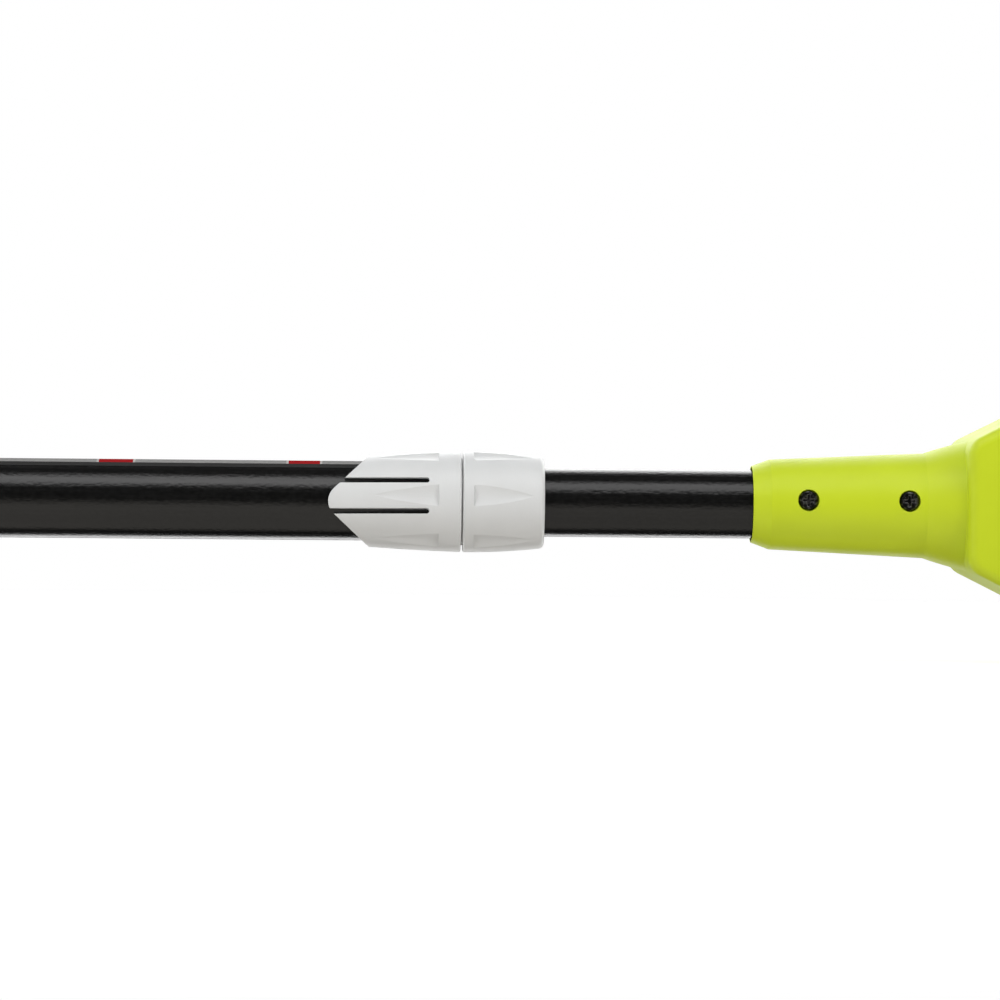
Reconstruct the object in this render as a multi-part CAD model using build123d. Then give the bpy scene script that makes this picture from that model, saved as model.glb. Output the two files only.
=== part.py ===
from build123d import *
import math
import os

# Telescoping battery pole saw, drawn collapsed, as it lies on the ground.
# Millimetres. +X runs along the pole towards the saw head, +Y to the user's left, +Z up.
# The origin is on the pole axis, midway along the bare stretch of the outer tube.

# Clearances
seat_gap = 0.05
run_gap = 0.4
shaft_gap = 0.06
loose_gap = 0.3
cut_over = 1.0
touch = 1e-4

# Poles
outer_tube_d = 30.0
outer_tube_wall = 1.5
inner_tube_d = 26.0
inner_tube_wall = 1.4
bare_length = 320.0
foregrip_length = 170.0
foregrip_wall = 4.6
foregrip_groove_pitch = 9.0
foregrip_groove_depth = 1.0
foregrip_groove_width = 2.4
foregrip_collar_length = 12.0
foregrip_collar_rise = 1.8
foregrip_round = 0.8
rear_bare_length = 190.0
exposed_length = 78.9
slide_in = 60.0
tube_end_margin = 8.0
slide_bush_length = 24.0
slide_bush_flange = 4.0
slide_bush_wall = 1.4
lead_r = 2.5
lead_drop = 5.0
lead_tail = 4.0
coil_r = 8.5
coil_length = 220.0
coil_set_back = 20.0

# Twist lock
lock_roll_deg = 7.5
sleeve_length = 50.2
sleeve_tip_r = 16.2
sleeve_mid_x = 27.2
sleeve_mid_r = 18.15
sleeve_front_r = 19.1
sleeve_chamfer = 0.5
nose_r = 6.5
vee_half_angle = 43.5
tongue_half_width = 4.85
slot_width = 2.0
slot_length = 38.1
scoop_count = 6
scoop_depth = 1.0
scoop_half_width = 4.1
scoop_lift = 0.04
sleeve_scoop_start = 16.6
sleeve_scoop_end = 41.7
tube_stop_depth = 3.0
spigot_length = 14.0
spigot_r = 16.5
nut_gap = 0.7
nut_length = 30.8
nut_back_r = 19.15
nut_front_r = 17.6
nut_crown = 0.35
nut_front_round = 2.0
nut_scoop_start = 4.1
nut_scoop_end = 27.2
collet_length = 10.0
collet_back_r = 15.9
collet_front_r = 14.5
collet_split = 1.6
collet_split_count = 4
collet_bridge = 2.5

# Saw head
neck_length = 65.4
neck_mouth_r = 14.6
neck_shoulder_x = 6.8
neck_shoulder_r = 17.1
neck_end_r = 19.95
neck_mouth_clear = 1.0
neck_mouth_depth = 4.0
tube_in_head = 78.0
flare_mid_x = 80.0
flare_mid_r = 24.2
flare_end_x = 108.0
flare_end_r = 28.0
head_front_length = 81.2
head_back_x = 80.0
head_back_half_height = 24.0
head_half_height = 40.0
head_crown_drop = 2.0
head_brow_length = 46.0
head_brow_drop = 4.0
head_front_corner = 6.0
head_front_bevel = 10.0
head_edge_round = 4.0
head_right = 28.0
head_left = 50.0
head_wall = 2.6
seam_width = 0.5
seam_depth = 0.5
head_round = 8.0
inner_right = 21.4
neck_screw_x = (20.6, 58.6)
neck_screw_rise = 1.7
rear_boss_x = 17.0
rear_boss_z = 24.0
top_boss_inset = 8.0
low_boss_back = 22.0
low_boss_inset = 5.0
boss_r = 4.2
vent_count = 6
vent_pitch = 7.0
vent_width = 3.0
vent_height = 30.0

# Screws
screw_head_r = 3.6
screw_head_h = 2.4
screw_head_round = 0.8
screw_shank_r = 1.6
counterbore_r = 4.05
counterbore_depth = 3.4
cross_width = 1.1
cross_length = 4.4
cross_depth = 1.3
screw_bite = 12.0

# Drive
gear_module = 1.0
pinion_teeth = 14
gear_teeth = 42
gear_backlash = 0.2
gear_addendum = 0.9
gear_dedendum = 1.25
pressure_deg = 20.0
flank_steps = 4
motor_x = 128.0
motor_z = 8.0
motor_r = 22.0
motor_length = 44.0
motor_wall = 1.8
motor_shaft_r = 2.5
armature_r = 18.5
armature_length = 30.0
pinion_width = 8.0
gear_width = 7.0
gear_shaft_r = 5.0
bearing_r = 11.0
bearing_width = 5.0
gear_plate_thickness = 6.0
gear_plate_margin = 8.0
gear_front_gap = 1.0
shaft_end_gap = 1.0
sprocket_teeth = 6
sprocket_tip_r = 13.4
sprocket_root_r = 10.0
sprocket_width = 2.4
sprocket_tooth_share = 0.2
sprocket_flank_share = 0.2
sprocket_hub_wall = 2.6
sprocket_hub_end = 1.0
motor_shaft_end = 1.0
pinion_clear = 1.0

# Bar and chain
bar_thickness = 4.0
bar_centres = 256.3
bar_belly = 3.6
chain_end_r = 18.4
rail_offset = 3.5
bar_groove = 1.35
bar_groove_depth = 6.5
bar_tail_gap = 24.0
stud_slot_length = 42.0
drive_link_count = 33
link_plate = 1.1
strap_plate = 1.0
link_side_gap = 0.1
rivet_r = 1.25
rivet_hole_r = 1.45
link_end = 2.7
tang_depth = 4.3
tang_half_width = 1.4
link_foot = 0.6
link_shoulder = 1.6
link_bevel = 1.7
strap_drop = 2.5
strap_rise = 2.8
strap_shoulder = 1.2
strap_bevel = 1.5
rivet_head = 0.5
cutter_height = 7.2
cutter_heel_drop = 1.4
cutter_edge_x = 1.4
cutter_undercut = 0.8
cutter_roof = 1.0
cutter_overhang = 0.6
gullet_floor = 2.0
gullet_width = 1.6
gullet_lip = 0.8
gauge_width = 1.6
gauge_drop = 1.2
cutter_every = 3
nose_sprocket_teeth = 9
nose_sprocket_r = 13.0
nose_notch_share = 0.7
nose_slot = 1.7
nose_pin_r = 4.5

# Sprocket cover, stud, knob and chain tensioner
pocket_depth = 3.5
cover_depth = 16.0
cover_wall = 2.4
cover_rear_r = 34.0
cover_half_height = 32.5
cover_round = 4.0
stud_forward = 51.2
stud_r = 4.0
knob_r = 17.0
knob_height = 12.0
knob_lobes = 8
knob_lobe_r = 3.2
knob_lobe_out = 1.0
knob_round = 1.0
knob_cap = 2.0
stud_end_gap = 0.6
stud_flange_thickness = 2.6
pad_margin = 2.0
clamp_boss_r = 11.0
tension_z = -9.0
tension_screw_r = 2.0
tension_channel = 7.0
tension_peg_forward = 41.2
tension_peg_r = 2.0
tension_reach = 11.0
tension_nut_length = 8.0
tension_end_wall = 7.0
tension_back_wall = 1.0
driver_slot_width = 1.0
driver_slot_depth = 1.2

# Bar oil
tank_forward = 27.2
tank_front_gap = 6.0
tank_y0 = 4.0
tank_half_height = 27.0
tank_wall = 2.0
tank_round = 4.0
filler_forward = 49.2
filler_y = 26.0
filler_r = 9.0
oil_cap_r = 14.0
oil_cap_height = 12.0
oil_cap_ribs = 18
oil_cap_rib_r = 0.9
oil_cap_rim = 3.0
oil_cap_round = 2.0
oil_cap_plug = 8.0
window_length = 30.0
window_height = 9.0

# Branch hook under the head
hook_set_back = 4.8
hook_length = 32.0
hook_width = 16.0
hook_reach = 20.0
hook_flange = 3.0
hook_tongue = 9.0
hook_tongue_inset = 6.0
hook_tongue_width = 8.0
hook_web_inset = 8.0
hook_web_slope = 4.0
hook_lip = 7.0
hook_lip_slope = 3.0
hook_tip = 4.0
hook_heel = 10.0
hook_round = 1.0

# Rear handle
handle_neck_length = 56.0
handle_mouth_r = 16.9
handle_shoulder_x = 6.8
handle_shoulder_r = 19.4
handle_neck_r = 21.0
handle_socket = 62.0
handle_half_width = 19.0
handle_wall = 2.6
handle_round = 6.0
handle_root = 8.0
handle_neck_tail = 14.0
handle_neck_tail_r = 13.0
handle_neck_step = 2.0
handle_brow = 16.0
handle_rise = 10.0
handle_corner = 7.2
handle_inner_corner = 4.8
guard_heel = 6.0
guard_slope_x = 28.0
guard_slope_z = 20.0
grip_top = 26.0
grip_height = 33.0
loop_front = 100.0
loop_length = 124.0
loop_height = 38.0
guard_height = 15.0
rear_block_length = 40.0
rear_block_top = 48.0
loop_corner = 7.2
loop_bevel = 14.0
handle_neck_screws = (22.0, 44.0)
handle_body_screws = ((84.0, -34.0), (176.0, 12.0), (246.0, 36.0), (246.0, -46.0))
grip_pad_start = 156.0
grip_pad_length = 60.0
grip_pad_proud = 1.2
grip_pad_round = 0.7
pad_groove_count = 8
pad_groove_pitch = 6.4
pad_groove_width = 1.6
pad_groove_depth = 0.6

# Trigger, switch and lock-off button
trigger_width = 15.0
trigger_pivot = (106.0, 5.0)
trigger_pin_r = 2.0
trigger_length = 46.0
trigger_drop = 13.0
trigger_pull_deg = 12.0
trigger_nose = 6.0
trigger_top = 5.0
trigger_top_fall = 1.0
trigger_tail = 12.0
trigger_tail_lip = 1.0
trigger_tail_drop = 5.0
trigger_pad = 20.0
trigger_toe = 4.0
trigger_toe_rise = 1.0
trigger_front_drop = 2.0
trigger_corner = 2.0
trigger_round = 1.5
trigger_slot_front = 8.0
trigger_slot_back = 3.0
trigger_slot_over = 3.0
switch_length = 24.0
switch_width = 18.0
switch_height = 12.0
switch_set_back = 6.0
switch_button_r = 2.5
switch_button_out = 2.0
lock_off_x = 84.0
lock_off_length = 22.0
lock_off_width = 11.0
lock_off_proud = 4.0
lock_off_travel = 3.0
lock_off_flange = 2.0
lock_off_ledge = 2.0
lock_off_corner = 3.0
lock_off_round = 1.5

# Battery
rail_stem_width = 34.0
rail_flange_width = 44.0
rail_stem_depth = 4.5
rail_flange_depth = 4.0
rail_half_height = 32.0
contact_thickness = 0.4
contact_width = 6.0
contact_pitch = 12.0
contact_end = 4.0
battery_half_width = 39.0
battery_bottom = -60.0
battery_top = 54.0
battery_round = 6.0
battery_wall = 2.4
battery_grip_count = 6
battery_grip_pitch = 6.0
battery_grip_r = 2.4
battery_grip_depth = 1.1
battery_grip_inset = 10.0
battery_grip_drop = 20.0
cell_r = 9.15
cell_length = 65.0
cell_pitch = 18.9
cell_rows = 5
cell_columns = 2
latch_length = 14.0
latch_width = 34.0
latch_proud = 3.5
latch_travel = 2.5
latch_depth = 5.5
latch_set_back = 5.0
latch_corner = 2.5
latch_round = 1.2

# Places along the pole
outer_r = outer_tube_d / 2
inner_r = inner_tube_d / 2
sleeve_tip = bare_length / 2
sleeve_front = sleeve_tip + sleeve_length
nut_back = sleeve_front + nut_gap
nut_front = nut_back + nut_length
head_x = nut_front + exposed_length
outer_tube_front = sleeve_front + tube_stop_depth
foregrip_front = -bare_length / 2
foregrip_back = foregrip_front - foregrip_length
handle_x = foregrip_back - rear_bare_length
outer_tube_rear = handle_x - handle_socket
inner_tube_rear = handle_x - handle_neck_screws[0] + slide_in + slide_bush_flange + tube_end_margin
inner_tube_front = head_x + tube_in_head
spigot_end = sleeve_front + spigot_length
collet_back = spigot_end + seat_gap
collet_front = collet_back + collet_length

# Places in the head
gear_distance = gear_module * (pinion_teeth + gear_teeth) / 2
sprocket_x = head_x + motor_x + math.sqrt(gear_distance**2 - motor_z**2)
head_front = sprocket_x + head_front_length
stud_x = sprocket_x + stud_forward
tension_peg_x = sprocket_x + tension_peg_forward
filler_x = sprocket_x + filler_forward
tank_back = sprocket_x + tank_forward
tank_front = head_front - tank_front_gap
hook_back = sprocket_x - hook_set_back
hook_front = hook_back + hook_length
body_screw_spots = (
    (head_x + head_back_x + rear_boss_x, rear_boss_z),
    (head_x + head_back_x + rear_boss_x, -rear_boss_z),
    (head_front - top_boss_inset, head_half_height - top_boss_inset),
    (head_front - low_boss_back, low_boss_inset - head_half_height),
)
gear_angle = math.degrees(math.atan2(-motor_z, sprocket_x - head_x - motor_x))
bar_inner_y = -head_right
bar_mid_y = bar_inner_y - bar_thickness / 2
pocket_floor = -head_right + pocket_depth
bearing_y0 = -inner_right - seat_gap
gear_y0 = bearing_y0 + bearing_width + gear_front_gap
gear_y1 = gear_y0 + gear_width
pinion_y0 = (gear_y0 + gear_y1 - pinion_width) / 2
plate_y0 = gear_y1 + gear_front_gap
plate_y1 = plate_y0 + gear_plate_thickness
motor_y1 = plate_y1 + motor_length
cover_y = -head_right - cover_depth
tension_floor = -inner_right - tension_back_wall
tension_y = (tension_floor - head_right) / 2
nose_x = sprocket_x + bar_centres

# Places in the handle, measured back from its mouth
grip_bottom = grip_top - grip_height
loop_bottom = grip_bottom - loop_height
guard_bottom = loop_bottom - guard_height
loop_back = loop_front + loop_length
handle_back = loop_back + rear_block_length
battery_front = handle_back + loose_gap * 2
slot_floor = handle_back + rail_stem_depth + rail_flange_depth + contact_thickness + run_gap
cell_first = slot_floor + battery_wall + cell_r + loose_gap
battery_back = cell_first + (cell_columns - 1) * cell_pitch + cell_r + loose_gap + battery_wall
battery_split = cell_first + cell_pitch / 2
battery_mid_z = (battery_bottom + battery_top) / 2


def cyl_x(radius, x0, x1, y=0.0, z=0.0):
    return Pos((x0 + x1) / 2, y, z) * Rot(0, 90, 0) * Cylinder(radius, x1 - x0)


def cyl_y(radius, y0, y1, x, z=0.0):
    return Pos(x, (y0 + y1) / 2, z) * Rot(90, 0, 0) * Cylinder(radius, y1 - y0)


def cyl_z(radius, z0, z1, x, y=0.0):
    return Pos(x, y, (z0 + z1) / 2) * Cylinder(radius, z1 - z0)


def block(x0, x1, y0, y1, z0, z1):
    centre = Pos((x0 + x1) / 2, (y0 + y1) / 2, (z0 + z1) / 2)
    return centre * Box(x1 - x0, y1 - y0, z1 - z0)


def round_block(x0, x1, y0, y1, z0, z1, radius):
    solid = block(x0, x1, y0, y1, z0, z1)
    return fillet(solid.edges(), radius)


def spun(points):
    """A solid turned about the pole axis from (x, radius) points."""
    outline = Polyline(*[(x, 0, r) for x, r in points], close=True)
    return revolve(make_face(outline), Axis.X)


def spun_edges(edges):
    """A solid turned about the pole axis from edges drawn in the XZ plane."""
    return revolve(make_face(edges), Axis.X)


def side_face(points, radius=0.0):
    """A face in the XZ plane, with its corners rounded."""
    face = make_face(Polyline(*[(x, 0, z) for x, z in points], close=True))
    return fillet(face.vertices(), radius) if radius else face


def slab(face, y0, y1):
    """A side face carried across from y0 to y1."""
    return extrude(Pos(0, y0, 0) * face, amount=y1 - y0, dir=(0, 1, 0))


def edges_at_y(solid, *places):
    """The edges of a slab that lie on its side faces."""
    found = []
    for y in places:
        found += solid.edges().filter_by_position(Axis.Y, y - touch, y + touch)
    return found


def half(solid, side):
    """The half of a solid on the left (side 1) or on the right (side -1) of the pole's plane."""
    box = solid.bounding_box()
    y0, y1 = (0, box.max.Y + cut_over) if side > 0 else (box.min.Y - cut_over, 0)
    x0, x1 = box.min.X - cut_over, box.max.X + cut_over
    return solid & block(x0, x1, y0, y1, box.min.Z - cut_over, box.max.Z + cut_over)


def seam_groove(solid, plane):
    """A shallow groove round the outside of a case, where its halves meet on a plane."""
    face = section(solid, section_by=plane)
    ring = face - offset(face, -seam_depth)
    return extrude(ring, amount=seam_width / 2, both=True)


def screw(x, z, y_seat, length):
    """A cross-head screw driven in from the right, its head seated at y_seat."""
    face_y = y_seat - screw_head_h
    head = cyl_y(screw_head_r, face_y, y_seat, x, z)
    head = fillet(edges_at_y(head, face_y), screw_head_round)
    shank = cyl_y(screw_shank_r, y_seat, y_seat + length, x, z)
    long, wide = cross_length / 2, cross_width / 2
    y0, y1 = face_y - cut_over, face_y + cross_depth
    cross = block(x - long, x + long, y0, y1, z - wide, z + wide)
    upright = block(x - wide, x + wide, y0, y1, z - long, z + long)
    return head + shank - cross - upright


def screw_hole(x, z, y_seat, y_out, length):
    """The counterbore and pilot hole that a screw needs."""
    wide = cyl_y(counterbore_r, y_out, y_seat, x, z)
    narrow = cyl_y(screw_shank_r + seat_gap, y_seat - seat_gap, y_seat + length + seat_gap, x, z)
    return wide + narrow


def outer_tube():
    tube = cyl_x(outer_r, outer_tube_rear, outer_tube_front)
    tube -= cyl_x(outer_r - outer_tube_wall, outer_tube_rear, outer_tube_front)
    for x in handle_neck_screws:
        tube -= cyl_y(screw_shank_r + loose_gap, -outer_tube_d, outer_tube_d, handle_x - x)
    return tube


def inner_tube():
    tube = cyl_x(inner_r, inner_tube_rear, inner_tube_front)
    tube -= cyl_x(inner_r - inner_tube_wall, inner_tube_rear, inner_tube_front)
    hole_r = screw_shank_r + loose_gap
    for x in neck_screw_x:
        tube -= cyl_y(hole_r, -inner_tube_d, inner_tube_d, head_x + x, neck_screw_rise)
    return tube


def slide_bush():
    """Plastic bush on the rear end of the inner tube, which guides it in the outer tube."""
    x0, x1 = inner_tube_rear - slide_bush_flange, inner_tube_rear + slide_bush_length
    plug_r = inner_r - inner_tube_wall - seat_gap
    flange = cyl_x(outer_r - outer_tube_wall - loose_gap, x0, inner_tube_rear)
    plug = cyl_x(plug_r, inner_tube_rear, x1)
    return flange + plug - cyl_x(plug_r - slide_bush_wall, x0, x1)


def foregrip():
    """Moulded rubber grip with ring grooves and a raised collar at each end."""
    grip_r = outer_r + foregrip_wall
    body = cyl_x(grip_r, foregrip_back, foregrip_front)
    for x in (foregrip_back, foregrip_front - foregrip_collar_length):
        body += cyl_x(grip_r + foregrip_collar_rise, x, x + foregrip_collar_length)
    body = fillet(body.edges().filter_by(GeomType.CIRCLE), foregrip_round)
    start = foregrip_back + foregrip_collar_length + foregrip_groove_pitch
    stop = foregrip_front - foregrip_collar_length - foregrip_groove_pitch / 2
    wide = foregrip_groove_width
    for i in range(int((stop - start) / foregrip_groove_pitch) + 1):
        x = start + i * foregrip_groove_pitch
        ring = cyl_x(grip_r + cut_over, x - wide / 2, x + wide / 2)
        body -= ring - cyl_x(grip_r - foregrip_groove_depth, x - wide, x + wide)
    return body - cyl_x(outer_r + seat_gap, foregrip_back - cut_over, foregrip_front + cut_over)


def crown_radius(points, x):
    """Radius at x of the shallow curve through three (x, radius) points."""
    total = 0
    for i, (x_here, r_here) in enumerate(points):
        others = [x_other for j, (x_other, _) in enumerate(points) if j != i]
        total += r_here * math.prod((x - x_other) / (x_here - x_other) for x_other in others)
    return total


def grip_scoops(x_deep, x_thin, points):
    """Finger hollows around a collar whose crown goes through three (x, radius) points.

    Each is the low side of a cone whose point lies on the crown at x_thin, cut off square at x_deep, so
    it is a triangle that deepens towards its step and is hollow across."""
    point = Vector(x_thin, 0, crown_radius(points, x_thin) + scoop_lift)
    crown_r = crown_radius(points, x_deep)
    floor = Vector(x_deep, 0, crown_r - scoop_depth) - point
    hollow_r = 1 / (2 * scoop_depth / scoop_half_width ** 2 - 1 / crown_r)
    half_angle = math.atan(hollow_r / floor.length)
    forward = 1 if x_deep > x_thin else -1
    long = 2 * floor.length
    cone = Cone(0, long * math.tan(half_angle), long, align=(Align.CENTER, Align.CENTER, Align.MIN))
    lie = floor.rotate(Axis.Y, -forward * math.degrees(half_angle))
    cone = Plane(origin=point, x_dir=(0, 1, 0), z_dir=lie) * cone
    first, last = sorted((x_thin - forward * cut_over, x_deep))
    scoop = cone & block(first, last, -long, long, 0, long)
    turn = 360 / scoop_count
    return [Rot(90 - lock_roll_deg + i * turn, 0, 0) * scoop for i in range(scoop_count)]


def lock_sleeve():
    """Fixed collar: tapered sleeve with a pointed tongue each side, two slots and a front spigot."""
    bore = outer_r + seat_gap
    small = inner_r + run_gap
    tip, front = sleeve_tip, sleeve_front
    crown = ((tip, sleeve_tip_r), (tip + sleeve_mid_x, sleeve_mid_r), (front - sleeve_chamfer, sleeve_front_r))
    outline = ThreePointArc(*[(x, 0, r) for x, r in crown])
    crest = (front - sleeve_chamfer, 0, sleeve_front_r)
    stop = outer_tube_front + seat_gap
    outline += Polyline(
        crest, (front, 0, sleeve_front_r - sleeve_chamfer), (front, 0, spigot_r), (spigot_end, 0, spigot_r),
        (spigot_end, 0, small), (stop, 0, small), (stop, 0, bore), (tip, 0, bore), (tip, 0, sleeve_tip_r),
    )
    sleeve = spun_edges(outline)
    far = sleeve_front_r + cut_over
    before = tip - cut_over
    slope = math.radians(vee_half_angle)
    bend_x = tip + nose_r * (1 - math.sin(slope))
    bend_z = nose_r * math.cos(slope)
    far_x = bend_x + (far - bend_z) / math.tan(slope)
    around = Polyline((bend_x, 0, bend_z), (far_x, 0, far), (before, 0, far), (before, 0, -far),
                      (far_x, 0, -far), (bend_x, 0, -bend_z))
    nose = ThreePointArc((bend_x, 0, -bend_z), (tip, 0, 0), (bend_x, 0, bend_z))
    cuts = [slab(make_face(around + nose), -far, far)]
    slot_end = tip + slot_length - slot_width / 2
    for side in (-1, 1):
        z = side * (tongue_half_width + slot_width / 2)
        slot = block(before, slot_end, -far, far, z - slot_width / 2, z + slot_width / 2)
        slot += cyl_y(slot_width / 2, -far, far, slot_end, z)
        cuts.append(Rot(-lock_roll_deg, 0, 0) * slot)
    cuts += grip_scoops(tip + sleeve_scoop_end, tip + sleeve_scoop_start, crown)
    for cut in cuts:
        sleeve -= cut
    return sleeve


def lock_nut():
    """Turning collar whose inner cone squeezes the collet on to the inner tube."""
    back, front = nut_back, nut_front
    lip = inner_r + run_gap
    bore = spigot_r + run_gap
    crown = ((back + sleeve_chamfer, nut_back_r),
             ((back + front) / 2, (nut_back_r + nut_front_r) / 2 + nut_crown),
             (front - nut_front_round, nut_front_r))
    edge_in = (front, 0, nut_front_r - nut_front_round)
    edge_out = (front - nut_front_round, 0, nut_front_r)
    bend = nut_front_round * (1 - math.sqrt(0.5))
    start = (back + sleeve_chamfer, 0, nut_back_r)
    outline = ThreePointArc(*[(x, 0, r) for x, r in crown])
    outline += ThreePointArc(edge_out, (front - bend, 0, nut_front_r - bend), edge_in)
    outline += Polyline(
        edge_in, (front, 0, lip), (collet_front + run_gap, 0, lip),
        (collet_front + run_gap, 0, collet_front_r + run_gap), (collet_back, 0, collet_back_r + run_gap),
        (collet_back, 0, bore), (back, 0, bore), (back, 0, nut_back_r - sleeve_chamfer), start,
    )
    nut = spun_edges(outline)
    for cut in grip_scoops(back + nut_scoop_start, back + nut_scoop_end, crown):
        nut -= cut
    return nut


def clamp_collet():
    """Split ring that grips the inner tube when the nut is tightened."""
    bore = inner_r + run_gap
    ring = spun(((collet_back, bore), (collet_back, collet_back_r), (collet_front, collet_front_r),
                 (collet_front, bore)))
    for i in range(collet_split_count):
        split = block(collet_back + collet_bridge, collet_front + cut_over, -collet_split / 2, collet_split / 2,
                      0, collet_back_r + cut_over)
        ring -= Rot(i * 360 / collet_split_count, 0, 0) * split
    return ring


def neck_radius(x):
    """Outer radius of the head's neck, x measured from its mouth."""
    share = (x - neck_shoulder_x) / (neck_length - neck_shoulder_x)
    return neck_shoulder_r + share * (neck_end_r - neck_shoulder_r)


def head_side_points(inset):
    """Corners of the head body's side outline, drawn in by inset."""
    h = head_half_height - inset
    back, front = head_x + head_back_x + inset, head_front - inset
    crown = head_x + flare_end_x
    low = head_back_half_height
    bevel = head_front_bevel
    return ((back, -low), (back, low), (crown, h - head_crown_drop), (front - head_brow_length, h),
            (front - head_front_corner, h - head_brow_drop), (front, h - bevel), (front, bevel - h),
            (front - bevel, -h), (crown, head_crown_drop - h))


def head_outer():
    """Neck, flare and body of the head as one solid, before it is hollowed and split."""
    x = head_x
    start = (x, 0, neck_mouth_r)
    bell = (x + neck_length, 0, neck_end_r)
    bell_end = (x + flare_end_x, 0, flare_end_r)
    outline = Polyline(start, (x + neck_shoulder_x, 0, neck_shoulder_r), bell)
    outline += ThreePointArc(bell, (x + flare_mid_x, 0, flare_mid_r), bell_end)
    outline += Polyline(bell_end, (x + flare_end_x, 0, 0), (x, 0, 0), start)
    body = slab(side_face(head_side_points(0.0), head_round), -head_right, head_left)
    body = fillet(edges_at_y(body, -head_right, head_left), head_edge_round)
    return body + spun_edges(outline)


def head_cavity():
    """Hollow of the head: a box for the works and the bore for the inner tube."""
    face = side_face(head_side_points(head_wall), head_round - head_wall)
    room = slab(face, -inner_right, head_left - head_wall)
    bore = cyl_x(inner_r + seat_gap, head_x - cut_over, inner_tube_front + loose_gap)
    throat = cyl_x(inner_r - inner_tube_wall, inner_tube_front, head_x + flare_end_x)
    mouth_r = inner_r + neck_mouth_clear
    mouth = spun(((-cut_over, 0), (-cut_over, mouth_r), (neck_mouth_depth / 2, mouth_r),
                  (neck_mouth_depth, inner_r), (neck_mouth_depth, 0)))
    return room + bore + throat + Pos(head_x, 0, 0) * mouth


def neck_screw_seats():
    """(x, y) of each neck screw's seat."""
    return [(head_x + x, -neck_radius(x) + counterbore_depth) for x in neck_screw_x]


def body_screw_seat():
    return -head_right + counterbore_depth


def head_shells():
    """Left and right halves of the head's casing, with bosses, vents, pocket and holes."""
    shell = head_outer() - head_cavity()
    for x, z in body_screw_spots:
        shell += cyl_y(boss_r, -inner_right - cut_over, head_left - head_wall / 2, x, z)
    shell += cyl_y(bearing_r + head_wall, -inner_right - cut_over, bearing_y0 + bearing_width, sprocket_x)
    for x, y in neck_screw_seats():
        shell -= screw_hole(x, neck_screw_rise, y, -head_right, neck_screw_length())
    outside = -head_right - cut_over
    for x, z in body_screw_spots:
        shell -= screw_hole(x, z, body_screw_seat(), outside, body_screw_length())
    bearing_y1 = bearing_y0 + bearing_width + cut_over
    shell -= cyl_y(bearing_r + seat_gap, bearing_y0 - seat_gap, bearing_y1, sprocket_x)
    shell -= cyl_y(gear_shaft_r + run_gap, outside, 0, sprocket_x)
    shell -= chain_pocket()
    shell -= cyl_y(stud_r + seat_gap, outside, -inner_right + cut_over, stud_x)
    shell -= tension_room()
    shell -= cyl_z(filler_r + loose_gap, 0, head_half_height + cut_over, filler_x, filler_y)
    shell -= oil_window_cut()
    shell -= hook_tongue_block(seat_gap)
    low, high = motor_z - vent_height / 2, motor_z + vent_height / 2
    inside = head_left - head_wall - cut_over
    for i in range(vent_count):
        x = head_x + motor_x + (i - (vent_count - 1) / 2) * vent_pitch
        shell -= block(x - vent_width / 2, x + vent_width / 2, inside, head_left + cut_over, low, high)
    return half(shell, 1), half(shell, -1)


def chain_pocket():
    """Recess in the right side that the chain and sprocket turn in, around the bar's raised pad."""
    reach = head_front + cut_over
    outside = -head_right - cut_over
    room = cover_half_height - cover_wall
    high = pad_half_height()
    pocket = block(sprocket_x, reach, outside, pocket_floor, -room, room)
    pocket += cyl_y(cover_rear_r - cover_wall, outside, pocket_floor, sprocket_x)
    return pocket - block(sprocket_x + bar_tail_gap, reach, outside, pocket_floor, -high, high)


def pad_half_height():
    return chain_end_r - rail_offset - tang_depth + pad_margin


def neck_screw_length():
    return 2 * neck_shoulder_r - counterbore_depth


def body_screw_length():
    return head_right - counterbore_depth + screw_bite


def head_screws():
    found = [screw(x, neck_screw_rise, y, neck_screw_length()) for x, y in neck_screw_seats()]
    seat = body_screw_seat()
    found += [screw(x, z, seat, body_screw_length()) for x, z in body_screw_spots]
    return Compound(children=found)


def involute(angle):
    return math.tan(angle) - angle


def gear_outline(teeth):
    """Points round a spur gear, one tooth centred on angle 0, flanks by the involute formula."""
    pitch_r = gear_module * teeth / 2
    base_r = pitch_r * math.cos(math.radians(pressure_deg))
    tip_r = pitch_r + gear_addendum * gear_module
    root_r = pitch_r - gear_dedendum * gear_module
    start_r = max(base_r, root_r)
    at_pitch = math.pi / (2 * teeth) - gear_backlash / (2 * pitch_r) + involute(math.radians(pressure_deg))
    flank = [(root_r, at_pitch)] if root_r < base_r else []
    for i in range(flank_steps + 1):
        r = start_r + (tip_r - start_r) * i / flank_steps
        flank.append((r, at_pitch - involute(math.acos(base_r / r))))
    tooth = [(r, -a) for r, a in flank] + [(r, a) for r, a in reversed(flank)]
    points = []
    for k in range(teeth):
        turn = 2 * math.pi * k / teeth
        points += [(r * math.cos(a + turn), r * math.sin(a + turn)) for r, a in tooth]
    return points


def spur_gear(teeth, x, z, y0, y1, turn_deg):
    """A spur gear about a Y axis; turn_deg is the direction of one tooth, from +X towards +Z."""
    face = make_face(Polyline(*[(px, 0, pz) for px, pz in gear_outline(teeth)], close=True))
    return Pos(x, 0, z) * Rot(0, -turn_deg, 0) * slab(face, y0, y1)


def drive_gear():
    """Large gear, keyed to the sprocket's shaft."""
    gear = spur_gear(gear_teeth, sprocket_x, 0, gear_y0, gear_y1, gear_angle + 180)
    return gear - cyl_y(gear_shaft_r + seat_gap, gear_y0 - cut_over, gear_y1 + cut_over, sprocket_x)


def drive_shaft():
    return cyl_y(gear_shaft_r, bar_mid_y - bar_thickness, plate_y1 - shaft_end_gap, sprocket_x)


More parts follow.
